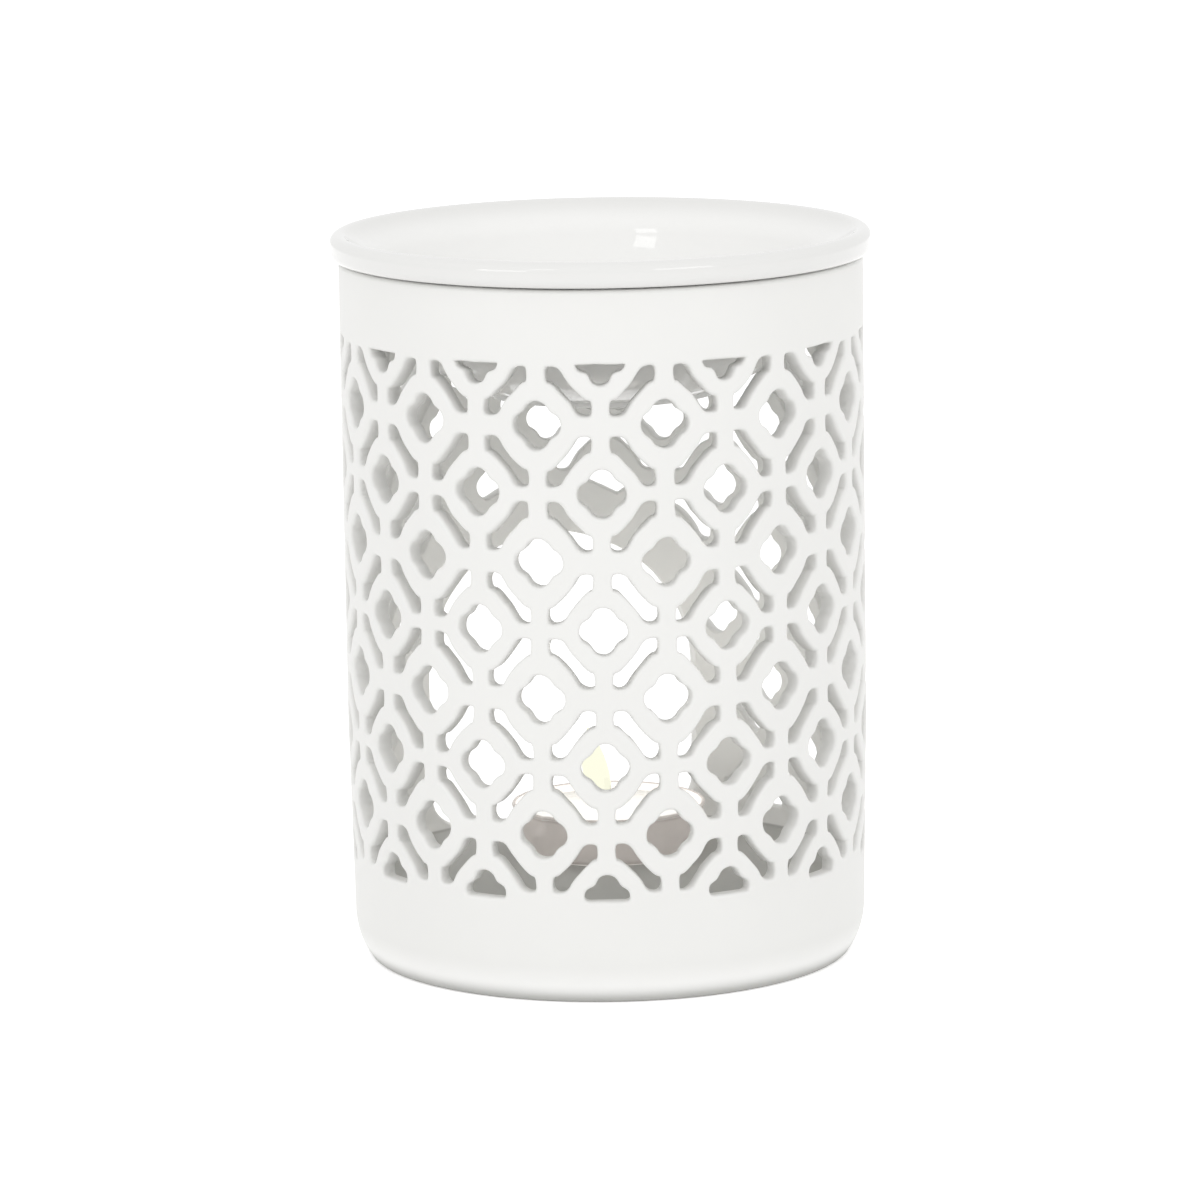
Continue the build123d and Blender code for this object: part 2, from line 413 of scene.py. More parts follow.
def vector_maths(tree, operation, *values, scale=None):
    """Output of a Vector Math node over vectors or sockets."""
    inputs = list(enumerate(values))
    if scale is not None:
        inputs.append(("Scale", scale))
    return put(tree, "ShaderNodeVectorMath", inputs=inputs, operation=operation).outputs[0]


# Windows: the outline of each kind, and where each window stands


def row_height(row, body, lattice):
    """Height of a row of holes, counted down from 0."""
    low, high = lattice.band_below, body.height - lattice.band_above
    pitch = (high - low + 2 * lattice.end_row_nudge) / (2 * lattice.rows_each_side)
    height = (low + high) / 2 + lattice.row_rise + (lattice.rows_each_side - row) * pitch
    if row == 0:
        return height - lattice.end_row_nudge
    if row == 2 * lattice.rows_each_side:
        return height + lattice.end_row_nudge
    return height


LOBED_CORNER_SHARES = [1.035, 0.97, 0.782, 0.97]
# The first half turn of a slot: its waist inside the wall, and its squarer mouth outside
SLOT_CORNER_SHARES = [
    (0.98, 0.34), (1.06, 0.80), (0.80, 1.08), (0.38, 0.98), (0.10, 0.52), (-0.27, 0.11), (-0.74, -0.34),
]
SLOT_MOUTH_SHARES = [
    (1, 0.36), (1.01, 0.98), (0.95, 1.03), (0.38, 1.03), (0.12, 0.54), (-0.28, 0.10), (-0.80, -0.37),
]
# Holes that a level edge cuts off: a height of 1 or -1 stands for the cut
TOP_HOLE_SHARES = [
    (0.5, 1), (0, 1), (-0.5, 1), (-0.97, 1), (-1.0, -0.17), (-0.87, -0.42), (-0.5, -0.5),
    (-0.371, -0.90), (0, -1.035), (0.371, -0.90), (0.5, -0.5), (0.87, -0.42), (1.0, -0.17), (0.97, 1),
]
FOOT_HOLE_SHARES = [
    (0, -1), (0.5, -1), (0.95, -1), (0.93, 0.33), (0.53, 0.5), (0.371, 0.896), (0, 1.035),
    (-0.371, 0.896), (-0.53, 0.5), (-0.93, 0.33), (-0.95, -1), (-0.5, -1),
]


def lobed_corners(lattice):
    """Corners of the four-lobed hole, counterclockwise seen from outside."""
    count = 4 * len(LOBED_CORNER_SHARES)
    corners = []
    for step in range(count):
        reach = lattice.lobe_reach * LOBED_CORNER_SHARES[step % 4]
        corners.append(Vector((reach * cos(TURN * step / count), reach * sin(TURN * step / count))))
    return corners


def slot_corners(body, lattice, side, shares):
    """Corners of the slot that rises to the right (side 1) or to the left (side -1)."""
    half_width = (TURN * body.radius / lattice.columns / 2 - lattice.bar_between_slots) / 2
    pitch = row_height(1, body, lattice) - row_height(2, body, lattice)
    half_height = (pitch - lattice.bar_between_slot_rows) / 2
    half = [Vector((side * x * half_width, y * half_height)) for x, y in shares]
    corners = half + [-corner for corner in half]
    return corners if side > 0 else corners[::-1]


def window_outline(kind, ring):
    """A kind of window's smooth outline at a ring of its rim."""
    corners, mouth, steps = kind
    growth, _, mouth_share = ring
    mixed = [corner.lerp(wide, mouth_share) for corner, wide in zip(corners, mouth)]
    return closed_spline(grown(mixed, growth), steps)


def window_kinds(body, lattice, arch):
    """Corners inside, corners at the mouth and curve steps of every kind of window, by name."""
    last = 2 * lattice.rows_each_side
    column = TURN / lattice.columns / 2
    top_cut = body.height - lattice.band_above - row_height(0, body, lattice)
    foot_cut = lattice.band_below - row_height(last, body, lattice)
    half_band = (arch.width / 2 + arch.side_band, arch.width / 2 + arch.crown_band)
    near_row = lattice.rows_each_side - 1
    from_arch = Vector((
        body.radius * sin(column),
        row_height(near_row, body, lattice) - (arch.top - arch.width / 2),
    ))

    def outside_band(point, hand):
        place = Vector((point.x - hand * from_arch.x, point.y + from_arch.y))
        return hypot(place.x / half_band[0], place.y / half_band[1]) - 1

    def cut_hole(hand):
        curve_steps, corner_count = 12, 26
        whole = closed_spline(lobed_corners(lattice), curve_steps)
        return evenly(clipped(whole, lambda point: outside_band(point, hand)), corner_count)

    reach = lattice.lobe_reach
    plain = {
        "top_hole": ([Vector((x * reach, min(y * reach, top_cut))) for x, y in TOP_HOLE_SHARES], 3),
        "foot_hole": ([Vector((x * reach, max(y * reach, foot_cut))) for x, y in FOOT_HOLE_SHARES], 3),
        "arch_hole_left": (cut_hole(1), 2),
        "arch_hole_right": (cut_hole(-1), 2),
        "hole": (lobed_corners(lattice), 3),
    }
    kinds = {name: (corners, corners, steps) for name, (corners, steps) in plain.items()}
    for name, side in (("slot_right", 1), ("slot_left", -1)):
        inside = slot_corners(body, lattice, side, SLOT_CORNER_SHARES)
        kinds[name] = (inside, slot_corners(body, lattice, side, SLOT_MOUTH_SHARES), 3)
    return kinds


def clear_of_arch(turn, height, body, arch):
    """True where a window's centre lies outside the plain band round the arch."""
    above = max(height - (arch.top - arch.width / 2), 0)
    return hypot(turn * body.radius, above) > arch.width / 2 + arch.clear_distance


def window_places(body, lattice, arch):
    """(kind, angle round from the arch, height) of every window. Angles grow towards +X."""
    places = []
    columns, last = lattice.columns, 2 * lattice.rows_each_side
    for step in range(1 - 2 * columns, 2 * columns, 2):
        turn = TURN * step / columns / 4
        for band in range(last):
            upper_row_even = band % 2 == 0
            rises_right = (step % 4 == 1) != upper_row_even
            height = (row_height(band, body, lattice) + row_height(band + 1, body, lattice)) / 2
            if clear_of_arch(turn, height, body, arch):
                height += lattice.slot_shift if upper_row_even else -lattice.slot_shift
                places.append(("slot_right" if rises_right else "slot_left", turn, height))
    for step in range(1 - columns, columns + 1):
        turn = TURN * step / columns / 2
        for row in range(step % 2, last + 1, 2):
            height = row_height(row, body, lattice)
            if not clear_of_arch(turn, height, body, arch):
                continue
            kind = {0: "top_hole", last: "foot_hole"}.get(row, "hole")
            if abs(step) == 1 and row == lattice.rows_each_side - 1:
                kind = "arch_hole_left" if step > 0 else "arch_hole_right"
            places.append((kind, turn, height))
    return places


def rim_rings(edge_round, inner_round, wall):
    """(growth, depth, share of the mouth's shape) of a rim's rings, from outside to inside."""
    steps, mouth_loss, rings = 3, 0.4, []
    for step in range(steps + 1):
        turn = pi / 2 * step / steps
        growth, depth = edge_round * (1 - sin(turn)), edge_round * (1 - cos(turn))
        rings.append((growth, depth, 1 - mouth_loss * step / steps))
    return rings + [(0.0, wall - inner_round, 0.0), (inner_round, wall, 0.0)]


# Steps along the arch's sill, which its outline starts with
SILL_STEPS = 18


def arch_outline(body, arch, growth, foot_growth):
    """The arch's outline, counterclockwise from outside, starting at the left end of its sill."""
    half, spring = arch.width / 2, arch.top - arch.width / 2
    low, bend = body.floor_top, body.floor_top + arch.corner
    sill = half - arch.corner
    points = [(x, low - foot_growth) for x, _ in straight((-sill, 0), (sill, 0), SILL_STEPS)]
    corner_steps, side_steps, crown_steps = 7, 11, 44
    for step in range(1, corner_steps + 1):
        turn = -pi / 2 + pi / 2 * step / corner_steps
        growing = foot_growth + (growth - foot_growth) * min(2 * step / corner_steps, 1)
        points.append((sill + (arch.corner + growing) * cos(turn),
                       bend + (arch.corner + growing) * sin(turn)))
    for step in range(1, side_steps):
        points.append((half + growth, bend + (spring - bend) * step / side_steps))
    for step in range(crown_steps + 1):
        turn = pi * step / crown_steps
        points.append(((half + growth) * cos(turn), spring + (half + growth) * sin(turn)))
    left = [(-x, z) for x, z in points[SILL_STEPS + 1:SILL_STEPS + corner_steps + side_steps]]
    return [Vector(point) for point in points + left[::-1]]


def rim_mesh(name, outlines, rings, body):
    """The rim of a window that faces +Y, one closed ring of points for each outline."""
    vertices, shares = [], []
    count = len(outlines[0])
    for outline, (_, depth, _) in zip(outlines, rings):
        radius = body.radius - depth
        vertices += [(-p.x, sqrt(radius ** 2 - p.x ** 2), p.y) for p in outline]
        shares += [1 - depth / body.wall] * count
    faces = []
    for ring in range(len(rings) - 1):
        for step in range(count):
            here, after = ring * count + step, ring * count + (step + 1) % count
            faces.append((here, after, after + count, here + count))
    rim = new_mesh(name, vertices, faces)
    rim.data.attributes.new("outer_share", "FLOAT", "POINT").data.foreach_set("value", shares)
    return rim


# The web between the windows, worked out flat and wrapped round the body


def flat_outline(outline, turn, height, radius, body):
    """A window's outline as (arc length to the right, height), at a radius of the wall."""
    return [(body.radius * (asin(p.x / radius) - turn), p.y + height) for p in outline]


def body_inset(height, body):
    """How far the outer wall stands in at a height."""
    fall = (body.taper_height - height) / (body.taper_height - body.foot_round_height)
    return body.taper_inset * min(max(fall, 0.0), 1.0)


def split_line(points, spacing):
    """A line through points, with more points between them, at most a spacing apart."""
    line = [points[0]]
    for start, end in zip(points, points[1:]):
        steps = max(int(hypot(end[0] - start[0], end[1] - start[1]) / spacing + 0.999), 1)
        line += straight(start, end, steps)[1:]
    return line


SEAM_DETOUR_SHARES = [(0, -1.6), (-0.93, -0.93), (-1.4, 0), (-0.93, 0.93), (0, 1.6)]


def seam_line(low, high, body, lattice):
    """A line up the web at the front, which passes to the left of every hole in its column."""
    points = [(0, low)]
    for row in range(2 * lattice.rows_each_side - 1, 0, -2):
        height = row_height(row, body, lattice)
        points += [
            (x * lattice.lobe_reach, height + z * lattice.lobe_reach) for x, z in SEAM_DETOUR_SHARES
        ]
    points.append((0, high))
    shift = -pi * body.radius
    return [(x + shift, z) for x, z in split_line(points, lattice.web_spacing)]


def level_line(start, end, height, body):
    """The points of a ring's segments that lie on a level line between two arc lengths."""
    step = TURN * body.radius / body.round_segments
    first = floor((start + pi * body.radius) / step + 0.5)
    last = floor((end + pi * body.radius) / step + 0.5)
    line = [(k * step - pi * body.radius, height) for k in range(first, last + 1)]
    return [point for point in line if start - 1e-9 <= point[0] <= end + 1e-9]


def web(border, windows, spacing, low, high, body):
    """Triangles between a border and its windows, all as flat points."""
    points, faces = [], []
    for outline in [border] + windows:
        faces.append(list(range(len(points), len(points) + len(outline))))
        points += outline
    near = KDTree(len(points))
    for index, point in enumerate(points):
        near.insert((point[0], point[1], 0), index)
    near.balance()
    # An even triangle grid, without the points too near an outline
    edge, least_gap = pi * body.radius, spacing * 0.42
    rows = int((high - low) / (spacing * sqrt(0.75)))
    for row in range(1, rows):
        z = low + (high - low) * row / rows
        for step in range(int(2 * edge / spacing) + 4):
            x = -edge - 2 * spacing + (step + (row % 2) / 2) * spacing
            if near.find((x, z, 0))[2] > least_gap:
                points.append((x, z))
    scale = 1 / MM
    found = delaunay_2d_cdt([Vector(p) * scale for p in points], [], faces, 0, 1e-6, True)
    triangles = [face for face, source in zip(found[2], found[5]) if list(source) == [0]]
    return [tuple(p / scale) for p in found[0]], triangles


def wrap(flat, triangles, surface, body, radius_at, facing_out):
    """Adds a flat web to a surface, wrapped round the body at a radius for each height."""
    vertices, faces = surface
    used = sorted({corner for triangle in triangles for corner in triangle})
    place = {corner: len(vertices) + index for index, corner in enumerate(used)}
    for corner in used:
        x, z = flat[corner]
        turn, radius = -x / body.radius, radius_at(z)
        vertices.append((radius * sin(turn), radius * cos(turn), z))
    for triangle in triangles:
        around = [place[corner] for corner in triangle]
        faces.append(tuple(around if facing_out else around[::-1]))


def body_surface(body, lattice, arch, kinds, places, rings, arch_rings):
    """Everything of the body but the windows' rims: webs, lip, foot and floor."""
    surface = ([], [])
    coarser_inside = 1.35
    bore, bore_spacing = body.radius - body.wall, lattice.web_spacing * coarser_inside
    seam_left = -pi * body.radius
    around = TURN * body.radius
    low, high = body.foot_round_height, body.height - body.lip_round

    def windows_at(ring, radius):
        shapes = {name: window_outline(kind, rings[ring]) for name, kind in kinds.items()}
        return [flat_outline(shapes[kind], turn, height, radius, body) for kind, turn, height in places]

    seam = seam_line(low, high, body, lattice)
    border = level_line(seam_left, -seam_left, low, body)
    border += [(x + around, z) for x, z in seam[1:-1]]
    border += level_line(seam_left, -seam_left, high, body)[::-1] + seam[1:-1][::-1]
    growth = arch_rings[0][0]
    archway = flat_outline(arch_outline(body, arch, growth, growth), 0, 0, body.radius, body)
    flat = web(border, windows_at(0, body.radius) + [archway], lattice.web_spacing, low, high, body)
    wrap(*flat, surface, body, lambda z: body.radius - body_inset(z, body), True)

    growth = arch_rings[-1][0]
    archway = flat_outline(arch_outline(body, arch, growth, 0), 0, 0, bore, body)
    sill_left, sill_right = archway[0], archway[SILL_STEPS]
    gap = TURN * body.radius / body.round_segments / 3
    seam = seam_line(body.floor_top, high, body, lattice)
    left = level_line(seam_left, sill_left[0] - gap, body.floor_top, body)
    right = level_line(sill_right[0] + gap, -seam_left, body.floor_top, body)
    border = left + [sill_left] + archway[:SILL_STEPS:-1] + [sill_right] + right
    border += [(x + around, z) for x, z in seam[1:-1]]
    border += level_line(seam_left, -seam_left, high, body)[::-1] + seam[1:-1][::-1]
    flat = web(border, windows_at(-1, bore), bore_spacing, body.floor_top, high, body)
    wrap(*flat, surface, body, lambda z: bore, False)

    floor_edge = left + archway[:SILL_STEPS + 1] + right[:-1]
    floor_disc(surface, [-x / body.radius for x, _ in floor_edge], bore, body)
    turned(lip_profile(body, bore, high), body.round_segments, surface)
    turned(foot_profile(body), body.round_segments, surface)
    return surface


def floor_disc(surface, turns, bore, body):
    """The floor inside the wall, with its rim at given angles round from the arch."""
    vertices, faces = surface
    rim = [(bore * sin(turn), bore * cos(turn)) for turn in turns]
    points = list(rim)
    ring_shares = ((0.975, 160), (0.85, 72), (0.65, 48), (0.4, 30), (0.18, 12))
    for ring, count in ring_shares:
        for step in range(count):
            turn = TURN * (step + 0.5) / count
            points.append((bore * ring * sin(turn), bore * ring * cos(turn)))
    scale = 1 / MM
    found = delaunay_2d_cdt(
        [Vector(p) * scale for p in points], [], [list(range(len(rim)))], 0, 1e-6, True
    )
    start = len(vertices)
    vertices += [(p.x / scale, p.y / scale, body.floor_top) for p in found[0]]
    for triangle, source in zip(found[2], found[5]):
        if list(source) == [0]:
            faces.append(tuple(start + corner for corner in triangle))


def lip_profile(body, bore, high):
    """The body's top edge, from the outer wall over to the bore."""
    lip = body.lip_round
    outer = arc((body.radius - lip, high), lip, 0, pi / 2, 6)
    inner = arc((bore + lip, high), lip, pi / 2, pi, 6)
    return outer + inner


def foot_profile(body):
    """The hollow foot, from the middle of the floor's underside out and up to the wall."""
    wall_foot = body.radius - body.taper_inset
    foot_radius = wall_foot - body.foot_round_inset
    recess_radius = foot_radius - body.foot_ring_width
    ceiling = body.floor_top - body.floor_thickness
    edge = body.foot_edge_round
    bend, edge_end, corner_share = 1.5 * MM, pi * 1.86, 0.46
    profile = straight((0, ceiling), (recess_radius - bend, ceiling), 4)
    profile += arc((recess_radius - bend, ceiling - bend), bend, pi / 2, 0, 4)
    profile += straight((recess_radius, ceiling - 2 * bend), (recess_radius, edge), 3)
    profile += arc((recess_radius + edge, edge), edge, pi, pi * 1.5, 5)
    profile += arc((foot_radius - edge, edge), edge, pi * 1.5, edge_end, 5)
    end = Vector((wall_foot, body.foot_round_height))
    fall = body.taper_inset / (body.taper_height - body.foot_round_height)
    corner = Vector((end.x - fall * end.y / 2, end.y * corner_share))
    return profile + pulled(Vector(profile[-1]), corner, end, 9)


def window_tree():
    """Geometry nodes that set a rim into every window and let the cut edges wander a little."""
    weld_distance, wander_scale, fade = 4e-6, 260.0, 4 * MM
    tree = bpy.data.node_groups.new("Window rims", "GeometryNodeTree")
    new = tree.interface.new_socket
    new("Geometry", in_out="INPUT", socket_type="NodeSocketGeometry")
    new("Window places", in_out="INPUT", socket_type="NodeSocketObject")
    new("Rims", in_out="INPUT", socket_type="NodeSocketCollection")
    for name in ("Taper inset", "Taper height", "Foot height", "Wobble", "Low", "High"):
        new(name, in_out="INPUT", socket_type="NodeSocketFloat")
    new("Material", in_out="INPUT", socket_type="NodeSocketMaterial")
    new("Geometry", in_out="OUTPUT", socket_type="NodeSocketGeometry")
    given = put(tree, "NodeGroupInput").outputs

    places = put(tree, "GeometryNodeObjectInfo", inputs={"Object": given["Window places"]})
    rims = put(tree, "GeometryNodeCollectionInfo",
               inputs={"Collection": given["Rims"], "Separate Children": True, "Reset Children": True})
    kind = put(tree, "GeometryNodeInputNamedAttribute", inputs={"Name": "kind"}, data_type="INT")
    turn = put(tree, "GeometryNodeInputNamedAttribute", inputs={"Name": "turn"}, data_type="FLOAT")
    spin = put(tree, "ShaderNodeCombineXYZ", inputs={"Z": turn.outputs["Attribute"]})
    rotation = put(tree, "FunctionNodeEulerToRotation", inputs={"Euler": spin.outputs[0]})
    placed = put(tree, "GeometryNodeInstanceOnPoints", inputs={
        "Points": places.outputs["Geometry"],
        "Instance": rims.outputs[0],
        "Pick Instance": True,
        "Instance Index": kind.outputs["Attribute"],
        "Rotation": rotation.outputs[0],
    })
    real = put(tree, "GeometryNodeRealizeInstances", inputs={"Geometry": placed.outputs[0]})

    position = put(tree, "GeometryNodeInputPosition").outputs[0]
    level = put(tree, "ShaderNodeSeparateXYZ", inputs={0: position}).outputs["Z"]
    sideways = vector_maths(tree, "MULTIPLY", position, (1, 1, 0))
    radial = vector_maths(tree, "NORMALIZE", sideways)
    drop = maths(tree, "SUBTRACT", given["Taper height"], level)
    span = maths(tree, "SUBTRACT", given["Taper height"], given["Foot height"])
    fall = put(tree, "ShaderNodeClamp", inputs={"Value": maths(tree, "DIVIDE", drop, span)})
    depth = put(tree, "GeometryNodeInputNamedAttribute", inputs={"Name": "outer_share"},
                data_type="FLOAT")
    inset = maths(tree, "MULTIPLY", fall.outputs[0], given["Taper inset"])
    inset = maths(tree, "MULTIPLY", inset, depth.outputs["Attribute"])
    inward = vector_maths(tree, "SCALE", radial, scale=maths(tree, "MULTIPLY", inset, -1.0))
    seated = put(tree, "GeometryNodeSetPosition", inputs={"Geometry": real.outputs[0], "Offset": inward})

    joined = put(tree, "GeometryNodeJoinGeometry")
    tree.links.new(given["Geometry"], joined.inputs[0])
    tree.links.new(seated.outputs[0], joined.inputs[0])
    welded = put(tree, "GeometryNodeMergeByDistance",
                 inputs={"Geometry": joined.outputs[0], "Distance": weld_distance})

    grain = put(tree, "ShaderNodeTexNoise", noise_dimensions="3D",
                inputs={"Vector": position, "Scale": wander_scale, "Detail": 1.0, "Roughness": 0.4})
    wander = vector_maths(tree, "SUBTRACT", grain.outputs["Color"], (0.5, 0.5, 0.5))
    parts = put(tree, "ShaderNodeSeparateXYZ", inputs={0: wander}).outputs
    along = vector_maths(tree, "CROSS_PRODUCT", (0, 0, 1), radial)
    along = vector_maths(tree, "SCALE", along, scale=parts["X"])
    upward = put(tree, "ShaderNodeCombineXYZ", inputs={"Z": parts["Y"]}).outputs[0]
    moved = vector_maths(tree, "ADD", along, upward)
    above = put(tree, "ShaderNodeMapRange", interpolation_type="SMOOTHSTEP", inputs={
        "Value": level, "From Min": given["Low"], "From Max": maths(tree, "ADD", given["Low"], fade),
    }).outputs[0]
    below = put(tree, "ShaderNodeMapRange", interpolation_type="SMOOTHSTEP", inputs={
        "Value": level, "From Min": given["High"],
        "From Max": maths(tree, "SUBTRACT", given["High"], fade),
    }).outputs[0]
    amount = maths(tree, "MULTIPLY", maths(tree, "MULTIPLY", above, below), given["Wobble"])
    moved = vector_maths(tree, "SCALE", moved, scale=amount)
    finished = put(tree, "GeometryNodeSetPosition",
                   inputs={"Geometry": welded.outputs[0], "Offset": moved})

    smooth = put(tree, "GeometryNodeSetShadeSmooth", inputs={"Geometry": finished.outputs[0]})
    real = put(tree, "GeometryNodeRealizeInstances", inputs={"Geometry": smooth.outputs[0]})
    coat = put(tree, "GeometryNodeSetMaterial",
               inputs={"Geometry": real.outputs[0], "Material": given["Material"]})
    put(tree, "NodeGroupOutput", inputs={"Geometry": coat.outputs[0]})
    return tree


def result_of(tree, piece, name, values):
    """The plain mesh that a geometry nodes tree makes of a piece, under a new name."""
    scene = bpy.context.scene
    scene.collection.objects.link(piece)
    modifier = piece.modifiers.new(tree.name, "NODES")
    modifier.node_group = tree
    for socket in tree.interface.items_tree:
        if socket.in_out == "INPUT" and socket.name in values:
            modifier[socket.identifier] = values[socket.name]
    piece.update_tag()
    evaluated = piece.evaluated_get(bpy.context.evaluated_depsgraph_get())
    mesh = bpy.data.meshes.new_from_object(evaluated)
    mesh.name = name
    piece.modifiers.remove(modifier)
    bpy.data.objects.remove(piece)
    return bpy.data.objects.new(name, mesh)


def true_normals(mesh, body):
    """Gives the turned faces the exact normals of their cylinders, so that they shade evenly."""
    co = np.empty(len(mesh.vertices) * 3, np.float32)
    mesh.vertices.foreach_get("co", co)
    co = co.reshape(-1, 3).astype(float)
    normals = np.array([tuple(n.vector) for n in mesh.vertex_normals])
    radius = np.hypot(co[:, 0], co[:, 1])
    fall = (body.taper_height - co[:, 2]) / (body.taper_height - body.foot_round_height)
    outer = body.radius - body.taper_inset * np.clip(fall, 0, 1)
    radial = co * (1, 1, 0) / np.maximum(radius, 1e-9)[:, None]
    near = 6e-6
    on_wall = (abs(radius - outer) < near) & (co[:, 2] > body.foot_round_height - near)
    on_bore = (abs(radius - body.radius + body.wall) < near) & (co[:, 2] > body.floor_top + near)
    slope = body.taper_inset / (body.taper_height - body.foot_round_height)
    radial_wall = radial - np.outer(slope * np.clip(2 * fall, 0, 1), (0, 0, 1))
    normals[on_wall] = radial_wall[on_wall] / np.linalg.norm(radial_wall[on_wall], axis=1)[:, None]
    normals[on_bore] = -radial[on_bore]
    mesh.normals_split_custom_set_from_vertices(normals.tolist())


# Materials


def fresh_material(name):
    """A material with one Principled shader, and its tree and shader."""
    material = bpy.data.materials.new(name)
    material.use_nodes = True
    return material, material.node_tree, material.node_tree.nodes["Principled BSDF"]


def grain_group():
    """Shader group: a fine height that mixes a broad unevenness with a grain."""
    found = bpy.data.node_groups.get("Surface grain")
    if found:
        return found
    tree = bpy.data.node_groups.new("Surface grain", "ShaderNodeTree")
    for name, default in (("Grain scale", 900.0), ("Broad scale", 60.0), ("Grain share", 0.5)):
        socket = tree.interface.new_socket(name, in_out="INPUT", socket_type="NodeSocketFloat")
        socket.default_value = default
    tree.interface.new_socket("Height", in_out="OUTPUT", socket_type="NodeSocketFloat")
    given = put(tree, "NodeGroupInput").outputs
    place = put(tree, "ShaderNodeTexCoord").outputs["Object"]
    fine = put(tree, "ShaderNodeTexNoise", inputs={
        "Vector": place, "Scale": given["Grain scale"], "Detail": 3.0, "Roughness": 0.6})
    broad = put(tree, "ShaderNodeTexNoise", inputs={
        "Vector": place, "Scale": given["Broad scale"], "Detail": 1.0, "Roughness": 0.4})
    mixed = put(tree, "ShaderNodeMix", inputs={
        0: given["Grain share"], 2: broad.outputs[0], 3: fine.outputs[0]})
    put(tree, "NodeGroupOutput", inputs={"Height": mixed.outputs[0]})
    return tree


def mottle_group():
    """Shader group: a colour that drifts a little over the surface."""
    found = bpy.data.node_groups.get("Mottled colour")
    if found:
        return found
    tree = bpy.data.node_groups.new("Mottled colour", "ShaderNodeTree")
    new = tree.interface.new_socket
    new("Colour", in_out="INPUT", socket_type="NodeSocketColor")
    new("Scale", in_out="INPUT", socket_type="NodeSocketFloat")
    new("Drift", in_out="INPUT", socket_type="NodeSocketFloat")
    new("Colour", in_out="OUTPUT", socket_type="NodeSocketColor")
    given = put(tree, "NodeGroupInput").outputs
    place = put(tree, "ShaderNodeTexCoord").outputs["Object"]
    cloud = put(tree, "ShaderNodeTexNoise", inputs={
        "Vector": place, "Scale": given["Scale"], "Detail": 2.0, "Roughness": 0.5})
    low = maths(tree, "SUBTRACT", 1.0, given["Drift"])
    level = put(tree, "ShaderNodeMapRange", inputs={
        "Value": cloud.outputs[0], "From Min": 0.3, "From Max": 0.7, "To Min": low, "To Max": 1.0,
    }).outputs[0]
    tinted = vector_maths(tree, "SCALE", given["Colour"], scale=level)
    put(tree, "NodeGroupOutput", inputs={"Colour": tinted})
    return tree


def mottled(tree, base, scale, drift):
    """A colour that drifts down from its base by a share, in clouds of a scale."""
    inputs = {"Colour": base, "Scale": scale, "Drift": drift}
    return put(tree, "ShaderNodeGroup", inputs=inputs, node_tree=mottle_group()).outputs[0]


def grained(tree, grain_scale, broad_scale, grain_share):
    """A height with a fine grain on a broad unevenness."""
    inputs = {"Grain scale": grain_scale, "Broad scale": broad_scale, "Grain share": grain_share}
    return put(tree, "ShaderNodeGroup", inputs=inputs, node_tree=grain_group()).outputs[0]


def bumped(tree, height, strength, distance):
    """A normal that follows a height."""
    inputs = {"Height": height, "Strength": strength, "Distance": distance}
    return put(tree, "ShaderNodeBump", inputs=inputs).outputs[0]


def radius_and_height(tree, centre=(0, 0)):
    """Distance from an upright axis, and height, as sockets."""
    place = put(tree, "ShaderNodeTexCoord").outputs["Object"]
    away = vector_maths(tree, "SUBTRACT", place, (centre[0], centre[1], 0))
    flat = vector_maths(tree, "MULTIPLY", away, (1, 1, 0))
    reach = put(tree, "ShaderNodeVectorMath", inputs={0: flat}, operation="LENGTH").outputs["Value"]
    height = put(tree, "ShaderNodeSeparateXYZ", inputs={0: place}).outputs["Z"]
    return reach, height


def ramp_between(tree, value, start, end):
    """A smooth step from 0 at start to 1 at end."""
    return put(tree, "ShaderNodeMapRange", interpolation_type="SMOOTHSTEP",
               inputs={"Value": value, "From Min": start, "From Max": end}).outputs[0]


def spread(tree, value, low, high):
    """A value that runs straight from low, where the given one is 0, to high, where it is 1."""
    inputs = {"Value": value, "To Min": low, "To Max": high}
    return put(tree, "ShaderNodeMapRange", inputs=inputs).outputs[0]


def blended(tree, factor, first, second):
    """The first colour where the factor is 0, and the second where it is 1."""
    inputs = {0: factor, 6: first, 7: second}
    return put(tree, "ShaderNodeMix", inputs=inputs, data_type="RGBA").outputs[2]


def looked_at(tree):
    """1 for rays of the camera, of a reflection and through glass, and 0 for light."""
    path = put(tree, "ShaderNodeLightPath").outputs
    seen = maths(tree, "MAXIMUM", path["Is Camera Ray"], path["Is Glossy Ray"])
    return maths(tree, "MAXIMUM", seen, path["Is Transmission Ray"])


